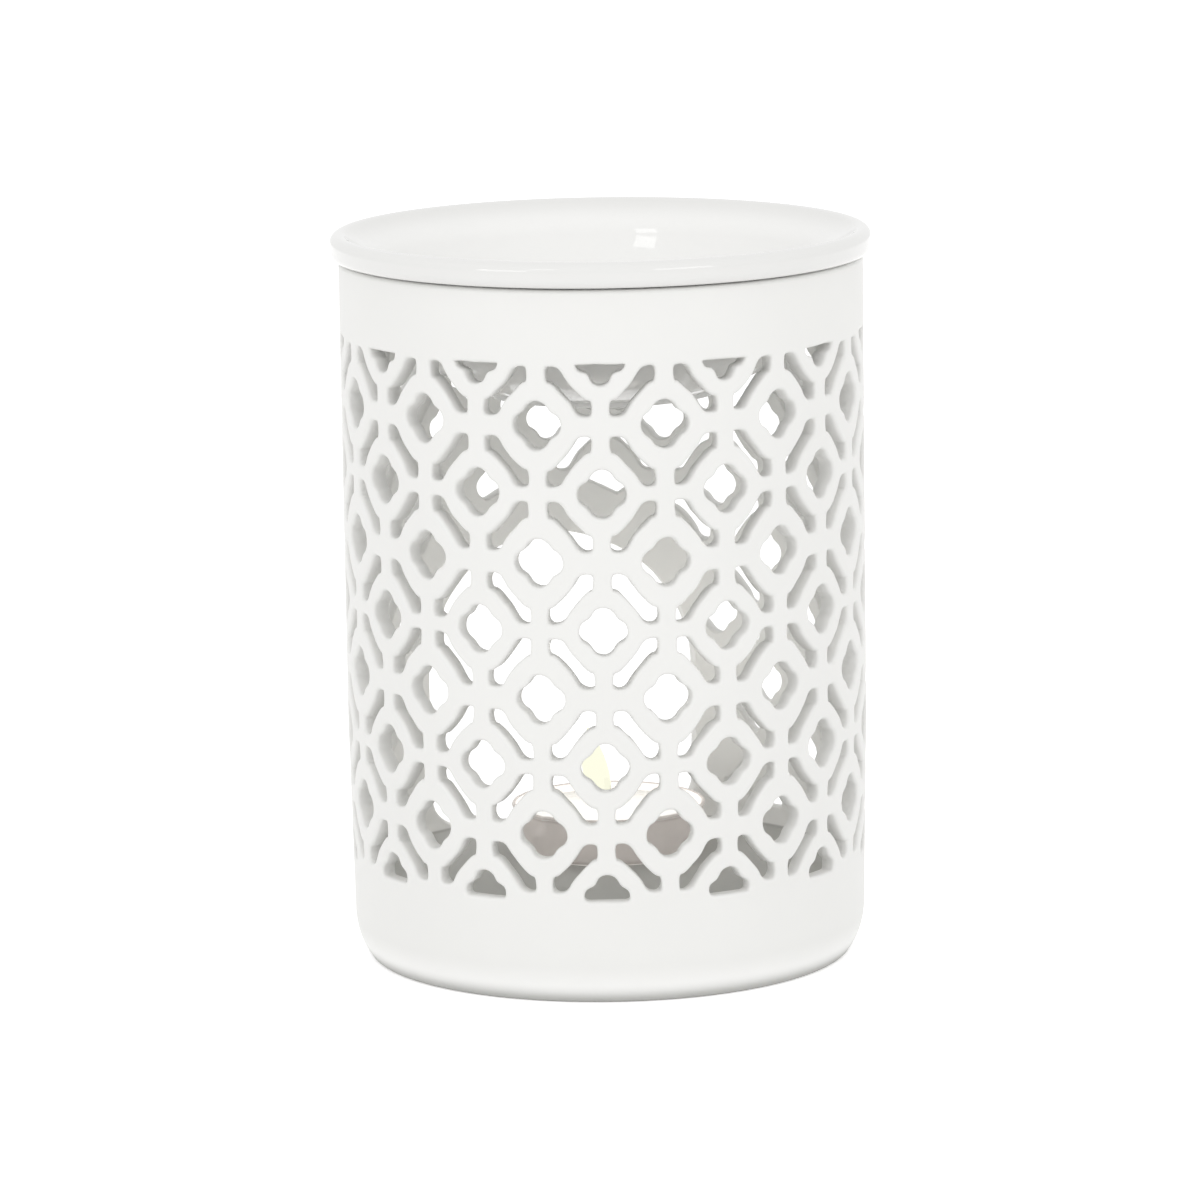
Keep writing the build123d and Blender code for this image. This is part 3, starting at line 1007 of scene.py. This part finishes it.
def matt_ceramic(finish, body):
    """Matt white outside, bare inside, and rough under the foot ring. Painted light makes the ceramic
    paler round the foot and inside, and painted shade makes the chamber floor dark grey.
    """
    material, tree, shader = fresh_material("matt_ceramic")
    reach, height = radius_and_height(tree)
    outside = ramp_between(tree, reach, body.radius - body.wall, body.radius - 0.45 * body.wall)
    above_foot = ramp_between(tree, height, 0.04 * MM, 0.2 * MM)
    above_painted_light = ramp_between(tree, height, 1 * MM, 8 * MM)
    above_floor = ramp_between(tree, height, body.floor_top + 0.05 * MM, body.floor_top + 0.6 * MM)
    # Painted light: the wall is paler round the foot, against the contact shade there.
    wall = blended(tree, above_painted_light, (*finish.painted_light_foot, 1), (*finish.body, 1))
    # Painted shade on the chamber floor, and painted light on the paler inside walls.
    chamber = blended(tree, above_floor, (*finish.shaded_chamber_floor, 1), (*finish.inside, 1))
    clay = (0.74, 0.72, 0.68, 1)
    ceramic = blended(tree, above_foot, clay, blended(tree, outside, chamber, wall))
    feed(tree, shader, {
        "Base Color": mottled(tree, ceramic, scale=55.0, drift=0.012),
        "Roughness": spread(tree, maths(tree, "MULTIPLY", outside, above_foot), 0.75, 0.5),
        "Specular IOR Level": 0.2,
        "Normal": bumped(tree, grained(tree, grain_scale=1400.0, broad_scale=90.0, grain_share=0.35),
                         strength=0.22, distance=0.12 * MM),
    })
    return material


def glazed_ceramic(finish):
    """Glossy white glaze with a faint unevenness, and painted shade that makes it a shade darker over
    the rim.
    """
    material, tree, shader = fresh_material("glazed_ceramic")
    reach, _ = radius_and_height(tree)
    # Painted shade darkens the glaze over the rim.
    rim_shade_share = ramp_between(tree, reach, 44 * MM, 49 * MM)
    glaze = blended(tree, rim_shade_share, (*finish.dish, 1), (*finish.shaded_dish_rim, 1))
    place = put(tree, "ShaderNodeTexCoord").outputs["Object"]
    smear = put(tree, "ShaderNodeTexNoise", inputs={"Vector": place, "Scale": 45.0}).outputs[0]
    feed(tree, shader, {
        "Base Color": mottled(tree, glaze, scale=40.0, drift=0.012),
        "Roughness": spread(tree, smear, 0.02, 0.05),
        "Specular IOR Level": 0.5,
        "Normal": bumped(tree, grained(tree, grain_scale=420.0, broad_scale=48.0, grain_share=0.25),
                         strength=0.03, distance=0.15 * MM),
    })
    return material


def cup_aluminium(finish, centre, radius):
    """Thin pressed foil with fine lines round it, which shines with the flame on its inside."""
    material, tree, shader = fresh_material("cup_aluminium")
    given = put(tree, "ShaderNodeTexCoord").outputs
    away = vector_maths(tree, "SUBTRACT", given["Object"], (centre[0], centre[1], 0))
    outward = put(tree, "ShaderNodeVectorMath", inputs={0: away, 1: given["Normal"]},
                  operation="DOT_PRODUCT").outputs["Value"]
    inside = ramp_between(tree, outward, 0.0, -0.35 * radius)
    # Painted light: the cup's inside glows in place of the flame's light on it.
    flame_shine = (0.45, 0.443, 0.433)
    long_way = vector_maths(tree, "MULTIPLY", given["Object"], (1, 1, 14))
    lines = put(tree, "ShaderNodeTexNoise", inputs={
        "Vector": long_way, "Scale": 420.0, "Detail": 3.0}).outputs[0]
    # The base colour's pink tint is a painted reflection on the foil.
    feed(tree, shader, {
        "Base Color": mottled(tree, (*finish.cup, 1), scale=160.0, drift=0.08),
        "Metallic": 0.12,
        "Roughness": spread(tree, lines, 0.4, 0.6),
        "Emission Color": vector_maths(tree, "SCALE", flame_shine, scale=inside),
        "Emission Strength": 1.0,
        "Normal": bumped(tree, lines, strength=0.25, distance=0.05 * MM),
    })
    return material


def candle_wax(finish, centre, pool_radius):
    """Milky wax, matt at the rim and wet in the melt pool, which glows most near the flame."""
    material, tree, shader = fresh_material("candle_wax")
    reach, _ = radius_and_height(tree, centre)
    dry = ramp_between(tree, reach, pool_radius * 0.97, pool_radius * 1.03)
    wax = blended(tree, dry, (*finish.melted_wax, 1), (*finish.wax, 1))
    # Painted light: the wax glows in place of the flame's light falling on it, most near the wick.
    flame_glow_colour = (1.0, 0.985, 0.95)
    glowing = put(tree, "ShaderNodeMapRange", inputs={
        "Value": reach, "From Min": 3 * MM, "From Max": pool_radius, "To Min": 0.5, "To Max": 0.3,
    }).outputs[0]
    grain = grained(tree, grain_scale=1800.0, broad_scale=260.0, grain_share=0.4)
    dry_grain = maths(tree, "MULTIPLY", grain, dry)
    feed(tree, shader, {
        "Base Color": mottled(tree, wax, scale=300.0, drift=0.03),
        "Roughness": spread(tree, dry, 0.06, 0.5),
        "Emission Color": vector_maths(tree, "SCALE", flame_glow_colour, scale=glowing),
        "Emission Strength": 1.0,
        "Normal": bumped(tree, dry_grain, strength=0.3, distance=0.1 * MM),
    })
    return material


def wick_cotton(finish, foot, top):
    """Braided cotton, waxy at the foot, charred above and ashy at its tip."""
    material, tree, shader = fresh_material("wick_cotton")
    _, height = radius_and_height(tree)
    waxy, ashy = (0.62, 0.56, 0.46, 1), (0.2, 0.17, 0.15, 1)
    charred = ramp_between(tree, height, foot, foot + (top - foot) * 0.35)
    at_tip = ramp_between(tree, height, top - (top - foot) * 0.18, top)
    burnt = blended(tree, charred, waxy, (*finish.wick, 1))
    feed(tree, shader, {
        "Base Color": mottled(tree, blended(tree, at_tip, burnt, ashy), scale=2500.0, drift=0.35),
        "Roughness": 0.85,
        "Normal": bumped(tree, grained(tree, grain_scale=5000.0, broad_scale=1500.0, grain_share=0.5),
                         strength=0.8, distance=0.1 * MM),
    })
    return material


def sustainer_tin(finish):
    """Stamped tin plate."""
    material, tree, shader = fresh_material("sustainer_tin")
    feed(tree, shader, {
        "Base Color": mottled(tree, (*finish.tin, 1), scale=500.0, drift=0.12),
        "Metallic": 1.0,
        "Roughness": 0.38,
        "Normal": bumped(tree, grained(tree, grain_scale=3000.0, broad_scale=400.0, grain_share=0.5),
                         strength=0.2, distance=0.05 * MM),
    })
    return material


def flame_glow(finish, foot, height):
    """A pale, soft-edged glow that is a little clearer at its foot."""
    material, tree, shader = fresh_material("flame_glow")
    _, level = radius_and_height(tree)
    lit = ramp_between(tree, level, foot, foot + height * 0.16)
    facing = put(tree, "ShaderNodeLayerWeight", inputs={"Blend": 0.5}).outputs["Facing"]
    solid = ramp_between(tree, facing, 1.0, 0.45)
    feed(tree, shader, {
        "Base Color": (0, 0, 0, 1),
        "Roughness": 1.0,
        "Specular IOR Level": 0.0,
        "Emission Color": (*finish.flame, 1),
        "Emission Strength": 1.0,
        "Alpha": maths(tree, "MULTIPLY", spread(tree, lit, 0.3, 0.95), solid),
    })
    return material


def floor_paper(finish, stage):
    """A plain pale floor that looks a little whiter to the camera than it is lit."""
    material, tree, shader = fresh_material("floor_paper")
    feed(tree, shader, {"Base Color": (*finish.floor, 1), "Roughness": 0.9, "Specular IOR Level": 0.1})
    lift = put(tree, "ShaderNodeEmission", inputs={
        "Color": (1, 1, 1, 1), "Strength": maths(tree, "MULTIPLY", looked_at(tree), stage.floor_lift)})
    both = put(tree, "ShaderNodeAddShader", inputs={0: shader.outputs[0], 1: lift.outputs[0]})
    feed(tree, tree.nodes["Material Output"], {"Surface": both.outputs[0]})
    return material


# Operators: one for each piece or group of like pieces, and one for the stage


class OILBURNER_OT_body(bpy.types.Operator):
    """Build the pierced body: wall, windows with rounded rims, arch, floor and hollow foot"""

    bl_idname = "oil_burner.body"
    bl_label = "Pierced body"

    def execute(self, context):
        scene = context.scene
        body, lattice, arch = scene.burner_body, scene.burner_lattice, scene.burner_arch
        kinds = window_kinds(body, lattice, arch)
        places = window_places(body, lattice, arch)
        rings = rim_rings(lattice.edge_round, lattice.inner_edge_round, body.wall)
        arch_rings = rim_rings(arch.edge_round, lattice.inner_edge_round, body.wall)
        surface = body_surface(body, lattice, arch, kinds, places, rings, arch_rings)

        # The collection's rims are picked by number, in the order of their names
        rims = bpy.data.collections.new("Rims")
        order = sorted(kinds) + ["z_arch"]
        for name, kind in kinds.items():
            outlines = [window_outline(kind, ring) for ring in rings]
            rims.objects.link(rim_mesh(name, outlines, rings, body))
        outlines = [arch_outline(body, arch, growth, growth) for growth, _, _ in arch_rings[:-1]]
        outlines.append(arch_outline(body, arch, arch_rings[-1][0], 0))
        rims.objects.link(rim_mesh("z_arch", outlines, arch_rings, body))

        places.append(("z_arch", 0.0, 0.0))
        points = new_mesh("window_places", [(0, 0, height) for _, _, height in places], [])
        turns = points.data.attributes.new("turn", "FLOAT", "POINT")
        turns.data.foreach_set("value", [-turn for _, turn, _ in places])
        numbers = points.data.attributes.new("kind", "INT", "POINT")
        numbers.data.foreach_set("value", [order.index(kind) for kind, _, _ in places])

        calm_below = body.floor_top + 2 * MM
        calm_above = body.height - lattice.band_above + 5 * MM
        material = matt_ceramic(scene.burner_finishes, body)
        piece = result_of(window_tree(), new_mesh("body_web", *surface), "pierced_body", {
            "Window places": points,
            "Rims": rims,
            "Taper inset": body.taper_inset,
            "Taper height": body.taper_height,
            "Foot height": body.foot_round_height,
            "Wobble": lattice.hand_wobble,
            "Low": calm_below,
            "High": calm_above,
            "Material": material,
        })
        for rim in list(rims.objects) + [points]:
            bpy.data.objects.remove(rim)
        bpy.data.collections.remove(rims)
        true_normals(piece.data, body)
        show(piece, material, "burner", "burner_body")
        return {"FINISHED"}


def dish_profile(body, dish):
    """The bowl's section, from the middle of its underside, round the rim, to its inside."""
    bore = body.radius - body.wall
    skirt = bore - dish.clearance
    skirt_low = body.height - dish.skirt_height
    centre = (skirt - dish.curve_radius * sin(dish.wall_angle),
              skirt_low + dish.curve_radius * cos(dish.wall_angle))
    base = DISH_LOW.z
    underside = base + dish.foot_recess
    foot_top = base + dish.foot_height
    inside = dish.curve_radius - dish.wall
    bowl_floor = underside + dish.wall
    soft = 0.35 * MM
    blend_turn, blend_middle, blend_width = 0.1, 3.2 * MM, 7 * MM

    def reach(radius, height):
        return centre[0] + sqrt(radius ** 2 - (height - centre[1]) ** 2)

    def slope(point):
        return atan2(point[1] - centre[1], point[0] - centre[0])

    foot_outer = reach(dish.curve_radius, foot_top)
    foot_inner = foot_outer - dish.foot_width
    profile = straight((0, underside), (foot_inner - soft, underside), 6)
    profile += arc((foot_inner + soft, base + soft), soft, pi, pi * 1.5, 3)
    profile += arc((foot_outer - soft, base + soft), soft, pi * 1.5, TURN, 3)
    profile += arc(centre, dish.curve_radius, slope((foot_outer, foot_top)),
                   slope((skirt, skirt_low)), 26)
    profile += straight((skirt, skirt_low), (skirt, body.height - soft), 4)[1:]
    profile += straight((skirt + soft, body.height), (skirt + dish.seat_width, body.height), 2)
    rim_low = body.height + dish.rim_gap
    below, above = dish.rim_low_round, dish.rim_high_round
    profile += straight((skirt + dish.seat_width + dish.rim_gap, rim_low),
                        (dish.radius - below, rim_low), 3)
    profile += arc((dish.radius - below, rim_low + below), below, -pi / 2, 0, 8)[1:]
    profile += arc((dish.radius - above, DISH_HIGH.z - above), above, 0, pi - dish.flare_angle, 16)
    flare_low = DISH_HIGH.z - dish.flare_depth
    corner = Vector((reach(inside, flare_low), flare_low))
    lip_end = Vector(profile[-1])
    flare_turn = slope(corner) - dish.flare_round / inside
    turn_in = Vector((centre[0] + inside * cos(flare_turn), centre[1] + inside * sin(flare_turn)))
    turn_out = corner + (lip_end - corner).normalized() * dish.flare_round
    profile += straight(tuple(lip_end), tuple(turn_out), 4)[1:]
    profile += pulled(turn_out, corner, turn_in, 8)
    floor_turn = slope((reach(inside, bowl_floor), bowl_floor))
    profile += arc(centre, inside, slope(tuple(turn_in)), floor_turn + blend_turn, 30)[1:]
    start = profile[-1]
    middle, end = (start[0] - blend_middle, bowl_floor), (start[0] - blend_width, bowl_floor)
    profile += pulled(Vector(start), Vector(middle), Vector(end), 6)
    return profile + straight(end, (0, bowl_floor), 4)[1:]


class OILBURNER_OT_dish(bpy.types.Operator):
    """Build the glazed bowl that lifts out of the body"""

    bl_idname = "oil_burner.dish"
    bl_label = "Bowl"

    def execute(self, context):
        scene = context.scene
        body, dish = scene.burner_body, scene.burner_dish
        waves, rise, drift_share = 2.2, 22, 0.0012

        def uneven(radius, height, turn):
            drift = noise.noise(Vector((waves * sin(turn), waves * cos(turn), height * rise)))
            return radius * (1 - drift_share * abs(drift)), height

        surface = turned(dish_profile(body, dish), dish.round_segments, ([], []), change=uneven)
        piece = new_mesh("glazed_bowl", *surface)
        show(piece, glazed_ceramic(scene.burner_finishes), "dish", "dish")
        return {"FINISHED"}


def tealight_centre():
    """The tea light's axis, from its cup."""
    return (CUP_LOW.x + CUP_HIGH.x) / 2, (CUP_LOW.y + CUP_HIGH.y) / 2


class OILBURNER_OT_tealight(bpy.types.Operator):
    """Build the tea light: pressed cup, wax with its melt pool, wick, tin holder and flame"""

    bl_idname = "oil_burner.tealight"
    bl_label = "Tea light"

    def execute(self, context):
        scene = context.scene
        sizes, finish = scene.burner_tealight, scene.burner_finishes
        centre = tealight_centre()
        self.cup(sizes, finish, centre)
        self.wax(sizes, finish, centre)
        self.wick(sizes, finish, centre)
        self.flame(sizes, finish, centre)
        holder = frame["nodes"]["wick_sustainer"]
        holder.data.materials.clear()
        holder.data.materials.append(sustainer_tin(finish))
        return {"FINISHED"}

    def cup(self, sizes, finish, centre):
        """The cup, with flutes pressed into its wall and a dent in its rolled rim."""
        outer = (CUP_HIGH.x - CUP_LOW.x) / 2 - sizes.rim_roll
        low, high = CUP_LOW.z, CUP_HIGH.z
        inner, roll = outer - sizes.cup_wall, sizes.rim_roll
        corner = sizes.cup_corner
        profile = straight((0, low), (outer - corner, low), 5)
        profile += arc((outer - corner, low + corner), corner, -pi / 2, 0, 5)
        profile += straight((outer, low + corner), (outer, high - 2 * roll), 12)[1:]
        profile += arc((outer, high - roll), roll, -pi / 2, pi, 9)[1:]
        profile += straight((inner, high - 2 * roll), (inner, low + corner), 12)
        profile += arc((outer - corner, low + corner), corner - sizes.cup_wall, 0, -pi / 2, 4)[1:]
        profile += straight((outer - corner, low + sizes.cup_wall), (0, low + sizes.cup_wall), 4)[1:]
        dent_turn, dent_half_width = radians(-60.3), 2.6 * MM
        dent_sharpness, dent_foot, dent_drop_share = 1.4, 0.55, 0.5
        crumple_depth, waves, rise = 0.18 * MM, 5, 300
        flute_rise, flute_fall, flute_at_rim = 4, 6, 0.35

        def pressed(radius, height, turn):
            if radius < inner - corner:
                return radius, height
            up = min(max((height - low - corner) / (high - low - 2 * corner), 0), 1)
            flute = 0.5 - 0.5 * cos(turn * sizes.flutes)
            flute *= min(flute_rise * up, 1) * min(flute_fall * (1 - up) + flute_at_rim, 1)
            radius -= sizes.flute_depth * flute
            crumple = noise.noise(Vector((waves * sin(turn), waves * cos(turn), height * rise)))
            radius -= crumple_depth * abs(crumple) * up
            away = (turn - dent_turn + pi) % TURN - pi
            dent = max(1 - abs(away) * outer / dent_half_width, 0) ** dent_sharpness
            dent *= max(up - dent_foot, 0) / (1 - dent_foot)
            radius -= sizes.dent_depth * dent
            return radius, height - dent_drop_share * sizes.dent_depth * dent

        surface = turned(profile, 6 * sizes.flutes, ([], []), centre, pressed)
        piece = new_mesh("pressed_cup", *surface)
        material = cup_aluminium(finish, centre, outer + roll)
        show(piece, material, "tealight", "tealight_cup")

    def wax(self, sizes, finish, centre):
        """The wax, which climbs a little at the cup and sinks a little in its melt pool."""
        gap, corner, clearance = 0.35 * MM, 0.6 * MM, 0.1 * MM
        climb_height, climb_reach = 0.35 * MM, 1.5 * MM
        wet_height, wet_reach, sink_depth = 0.2 * MM, 1.2 * MM, 0.55 * MM
        ripple_height, shore_reach, top_layer = 0.16 * MM, 2.5 * MM, 1.2 * MM
        waves, rise, shore_sharpness = 3, 160, 10
        neck_wall, plate_height = 0.85 * MM, 0.5 * MM
        steps, segments = 40, 144
        outer = (WAX_HIGH.x - WAX_LOW.x) / 2 - gap
        low, high = WAX_LOW.z, WAX_HIGH.z
        hole = sizes.wick_radius * 1.02
        pool = sizes.pool_radius
        holder_low, holder_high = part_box("wick_sustainer")
        plate = (holder_high.x - holder_low.x) / 2 + clearance
        neck, neck_top = hole + neck_wall, holder_high.z + clearance
        plate_top = holder_low.z + plate_height
        profile = [(hole, neck_top), (neck, neck_top), (neck, plate_top),
                   (plate, plate_top), (plate, low)]
        profile += straight((plate, low), (outer - corner, low), 3)[1:]
        profile += arc((outer - corner, low + corner), corner, -pi / 2, 0, 4)
        profile += straight((outer, low + corner), (outer, high), 4)[1:]
        for step in range(1, steps + 1):
            radius = outer + (hole - outer) * step / steps
            climb = climb_height * max(1 - (outer - radius) / climb_reach, 0) ** 2
            sink = sink_depth / (1 + (radius / pool) ** shore_sharpness)
            wet = wet_height * max(1 - (radius - hole) / wet_reach, 0) ** 2
            profile.append((radius, high - climb_height + climb - sink + wet))
        profile.append(profile[0])

        def rippled(radius, height, turn):
            if height < high - top_layer:
                return radius, height
            drift = noise.noise(Vector((waves * sin(turn), waves * cos(turn), radius * rise)))
            shore = max(1 - abs(radius - pool) / shore_reach, 0)
            return radius, height - ripple_height * shore * abs(drift)

        surface = turned(profile, segments, ([], []), centre, rippled)
        piece = new_mesh("wax_pool", *surface)
        weld(piece)
        material = candle_wax(finish, centre, pool)
        show(piece, material, "tealight", "tealight_wax")

    def wick(self, sizes, finish, centre):
        """A braided wick with a curled, charred tip."""
        low, high = WICK_LOW.z, WICK_HIGH.z
        rings, sides = 48, 24
        strands, twist, groove = 3, 40, 0.2
        lean_from, thin_from, thinning = 0.6, 0.8, 0.35
        tip_shift = Vector((-0.35, 0.2)) * MM
        vertices, faces = [(centre[0], centre[1], low)], []
        for ring in range(rings):
            t = ring / (rings - 1)
            z = low + (high - low) * t
            lean = max(t - lean_from, 0) / (1 - lean_from)
            shift = tip_shift * lean ** 2
            thin = 1 - thinning * max(t - thin_from, 0) / (1 - thin_from)
            for side in range(sides):
                turn = TURN * side / sides
                one_way, other_way = strands * turn + twist * t, strands * turn - twist * t
                braid = 0.5 + 0.5 * cos(one_way) * cos(other_way)
                r = sizes.wick_radius * thin * (1 - groove + groove * braid)
                vertices.append((centre[0] + shift.x + r * cos(turn),
                                 centre[1] + shift.y + r * sin(turn), z))
        vertices.append((vertices[-1][0] - sizes.wick_radius * 0.5, vertices[-1][1], high))
        for side in range(sides):
            after = (side + 1) % sides
            faces.append((0, 1 + after, 1 + side))
            for ring in range(rings - 1):
                start = 1 + ring * sides
                faces.append((start + side, start + after, start + after + sides, start + side + sides))
            start = 1 + (rings - 1) * sides
            faces.append((start + side, start + after, len(vertices) - 1))
        piece = new_mesh("braided_wick", vertices, faces)
        material = wick_cotton(finish, WAX_HIGH.z - 0.5 * MM, high)
        show(piece, material, "tealight", "wick")

    def flame(self, sizes, finish, centre):
        """A still teardrop of flame round the wick's tip."""
        foot = WICK_HIGH.z - 4.8 * MM
        swell, narrowing, fullest = 0.62, 0.95, 0.455
        lean_bend, lean_back_share = 0.6, 0.23
        shift_left, shift_back = 0.35 * MM, 0.1 * MM
        steps, segments, profile = 36, 40, []
        for step in range(steps + 1):
            t = step / steps
            fullness = (t ** swell) * ((1 - t) ** narrowing) / fullest
            profile.append((sizes.flame_radius * fullness if 0 < step < steps else 0.0,
                            foot + sizes.flame_height * t))

        vertices, faces = turned(profile, segments, ([], []), centre)
        leaning = []
        for x, y, z in vertices:
            lean = sizes.flame_lean * ((z - foot) / sizes.flame_height) ** lean_bend
            leaning.append((x - lean - shift_left, y + lean_back_share * lean + shift_back, z))
        piece = new_mesh("flame", leaning, faces)
        piece.visible_shadow = False
        show(piece, flame_glow(finish, foot, sizes.flame_height), "tealight")


def weld(piece):
    """Merges a mesh's doubled points."""
    work = bmesh.new()
    work.from_mesh(piece.data)
    bmesh.ops.remove_doubles(work, verts=work.verts, dist=TINY)
    work.to_mesh(piece.data)
    work.free()
    piece.data.polygons.foreach_set("use_smooth", [True] * len(piece.data.polygons))


class OILBURNER_OT_stage(bpy.types.Operator):
    """Set the floor, the soft light, the white surroundings and the camera"""

    bl_idname = "oil_burner.stage"
    bl_label = "Stage"

    def execute(self, context):
        scene = context.scene
        stage = scene.burner_stage
        self.ground(scene, stage)
        self.surroundings(scene, stage)
        self.flame_light(scene, stage)
        self.softboxes(scene, stage)
        self.camera(scene, stage)
        scene.view_settings.view_transform = "Standard"
        return {"FINISHED"}

    def ground(self, scene, stage):
        """One large pale floor."""
        half = stage.floor_size
        corners = [(-half, -half, 0), (half, -half, 0), (half, half, 0), (-half, half, 0)]
        ground = new_mesh("floor", corners, [(0, 1, 2, 3)], smooth=False)
        ground.data.materials.append(floor_paper(scene.burner_finishes, stage))
        scene.collection.objects.link(ground)

    def surroundings(self, scene, stage):
        """White all round, brighter to the camera and in reflections than it lights."""
        world = bpy.data.worlds.new("White room")
        world.use_nodes = True
        tree = world.node_tree
        strength = put(tree, "ShaderNodeMix", inputs={0: looked_at(tree), 2: stage.sky, 3: 1.0})
        feed(tree, tree.nodes["Background"], {"Color": (1, 1, 1, 1), "Strength": strength.outputs[0]})
        scene.world = world

    def flame_light(self, scene, stage):
        """A small lamp over the wick, in place of the flame's light."""
        lamp = bpy.data.lights.new("flame_light", "POINT")
        lamp.energy = stage.flame_power
        lamp.color = (1.0, 0.97, 0.92)
        lamp.shadow_soft_size = 2 * MM
        holder = bpy.data.objects.new("flame_light", lamp)
        holder.location = (*tealight_centre(), WICK_HIGH.z + stage.flame_light_height)
        scene.collection.objects.link(holder)

    def softboxes(self, scene, stage):
        """Softboxes in front: name, angle from the camera's side, elevation, width and height."""
        boxes = [
            ("left_softbox", radians(-42), radians(16), 0.46, 0.32),
            ("right_softbox", radians(36), radians(24), 0.55, 0.32),
            ("small_softbox", radians(-27), radians(38), 0.23, 0.18),
        ]
        for name, offset, elevation, width, height in boxes:
            turn = stage.camera_azimuth + offset
            toward = Vector((sin(turn) * cos(elevation), -cos(turn) * cos(elevation), sin(elevation)))
            lamp = bpy.data.lights.new(name, "AREA")
            lamp.shape = "RECTANGLE"
            lamp.size, lamp.size_y = width, height
            lamp.energy = stage.glow * pi * width * height
            holder = bpy.data.objects.new(name, lamp)
            holder.location = toward * stage.softbox_distance + Vector((0, 0, BODY_HIGH.z))
            holder.rotation_euler = toward.to_track_quat("Z", "Y").to_euler()
            scene.collection.objects.link(holder)

    def camera(self, scene, stage):
        """The photograph's viewpoint."""
        turn, pitch, roll = stage.camera_azimuth, stage.camera_pitch, stage.camera_roll
        look = turn + stage.camera_yaw
        level = Vector((cos(look), sin(look), 0))
        ahead = Vector((-sin(look) * cos(pitch), cos(look) * cos(pitch), -sin(pitch)))
        upright = level.cross(ahead)
        right = level * cos(roll) + upright * sin(roll)
        up = upright * cos(roll) - level * sin(roll)
        data = bpy.data.cameras.new("camera")
        data.sensor_width = 36.0
        data.lens = stage.lens
        data.clip_start = 0.01
        camera = bpy.data.objects.new("camera", data)
        place = Vector((stage.camera_distance * sin(turn), -stage.camera_distance * cos(turn),
                        stage.camera_height))
        axes = Matrix((right, up, -ahead)).transposed().to_4x4()
        camera.matrix_world = Matrix.Translation(place) @ axes
        scene.collection.objects.link(camera)
        scene.camera = camera


class OILBURNER_PT_panel(bpy.types.Panel):
    """Sizes, finishes and the buttons that build each piece"""

    bl_idname = "OILBURNER_PT_panel"
    bl_label = "Oil Burner"
    bl_space_type = "VIEW_3D"
    bl_region_type = "UI"
    bl_category = "Oil Burner"

    def draw(self, context):
        layout = self.layout
        for operator in OPERATORS:
            layout.operator(operator.bl_idname)
        for name, group in GROUPS.items():
            box = layout.box()
            box.label(text=group.__doc__)
            for value in group.__annotations__:
                box.prop(getattr(context.scene, name), value)


GROUPS = {
    "burner_body": BodySizes,
    "burner_lattice": LatticeSizes,
    "burner_arch": ArchSizes,
    "burner_dish": DishSizes,
    "burner_tealight": TeaLightSizes,
    "burner_finishes": Finishes,
    "burner_stage": StageSettings,
}
OPERATORS = [OILBURNER_OT_body, OILBURNER_OT_dish, OILBURNER_OT_tealight, OILBURNER_OT_stage]


def register():
    for group in GROUPS.values():
        bpy.utils.register_class(group)
    for name, group in GROUPS.items():
        setattr(bpy.types.Scene, name, PointerProperty(type=group))
    for operator in OPERATORS:
        bpy.utils.register_class(operator)
    bpy.utils.register_class(OILBURNER_PT_panel)


def unregister():
    bpy.utils.unregister_class(OILBURNER_PT_panel)
    for operator in reversed(OPERATORS):
        bpy.utils.unregister_class(operator)
    for name in GROUPS:
        delattr(bpy.types.Scene, name)
    for group in reversed(list(GROUPS.values())):
        bpy.utils.unregister_class(group)


def main():
    """Builds the burner and its stage."""
    register()
    bpy.ops.oil_burner.body()
    bpy.ops.oil_burner.dish()
    bpy.ops.oil_burner.tealight()
    bpy.ops.oil_burner.stage()
    bpy.context.view_layer.update()


if __name__ == "__main__":
    main()
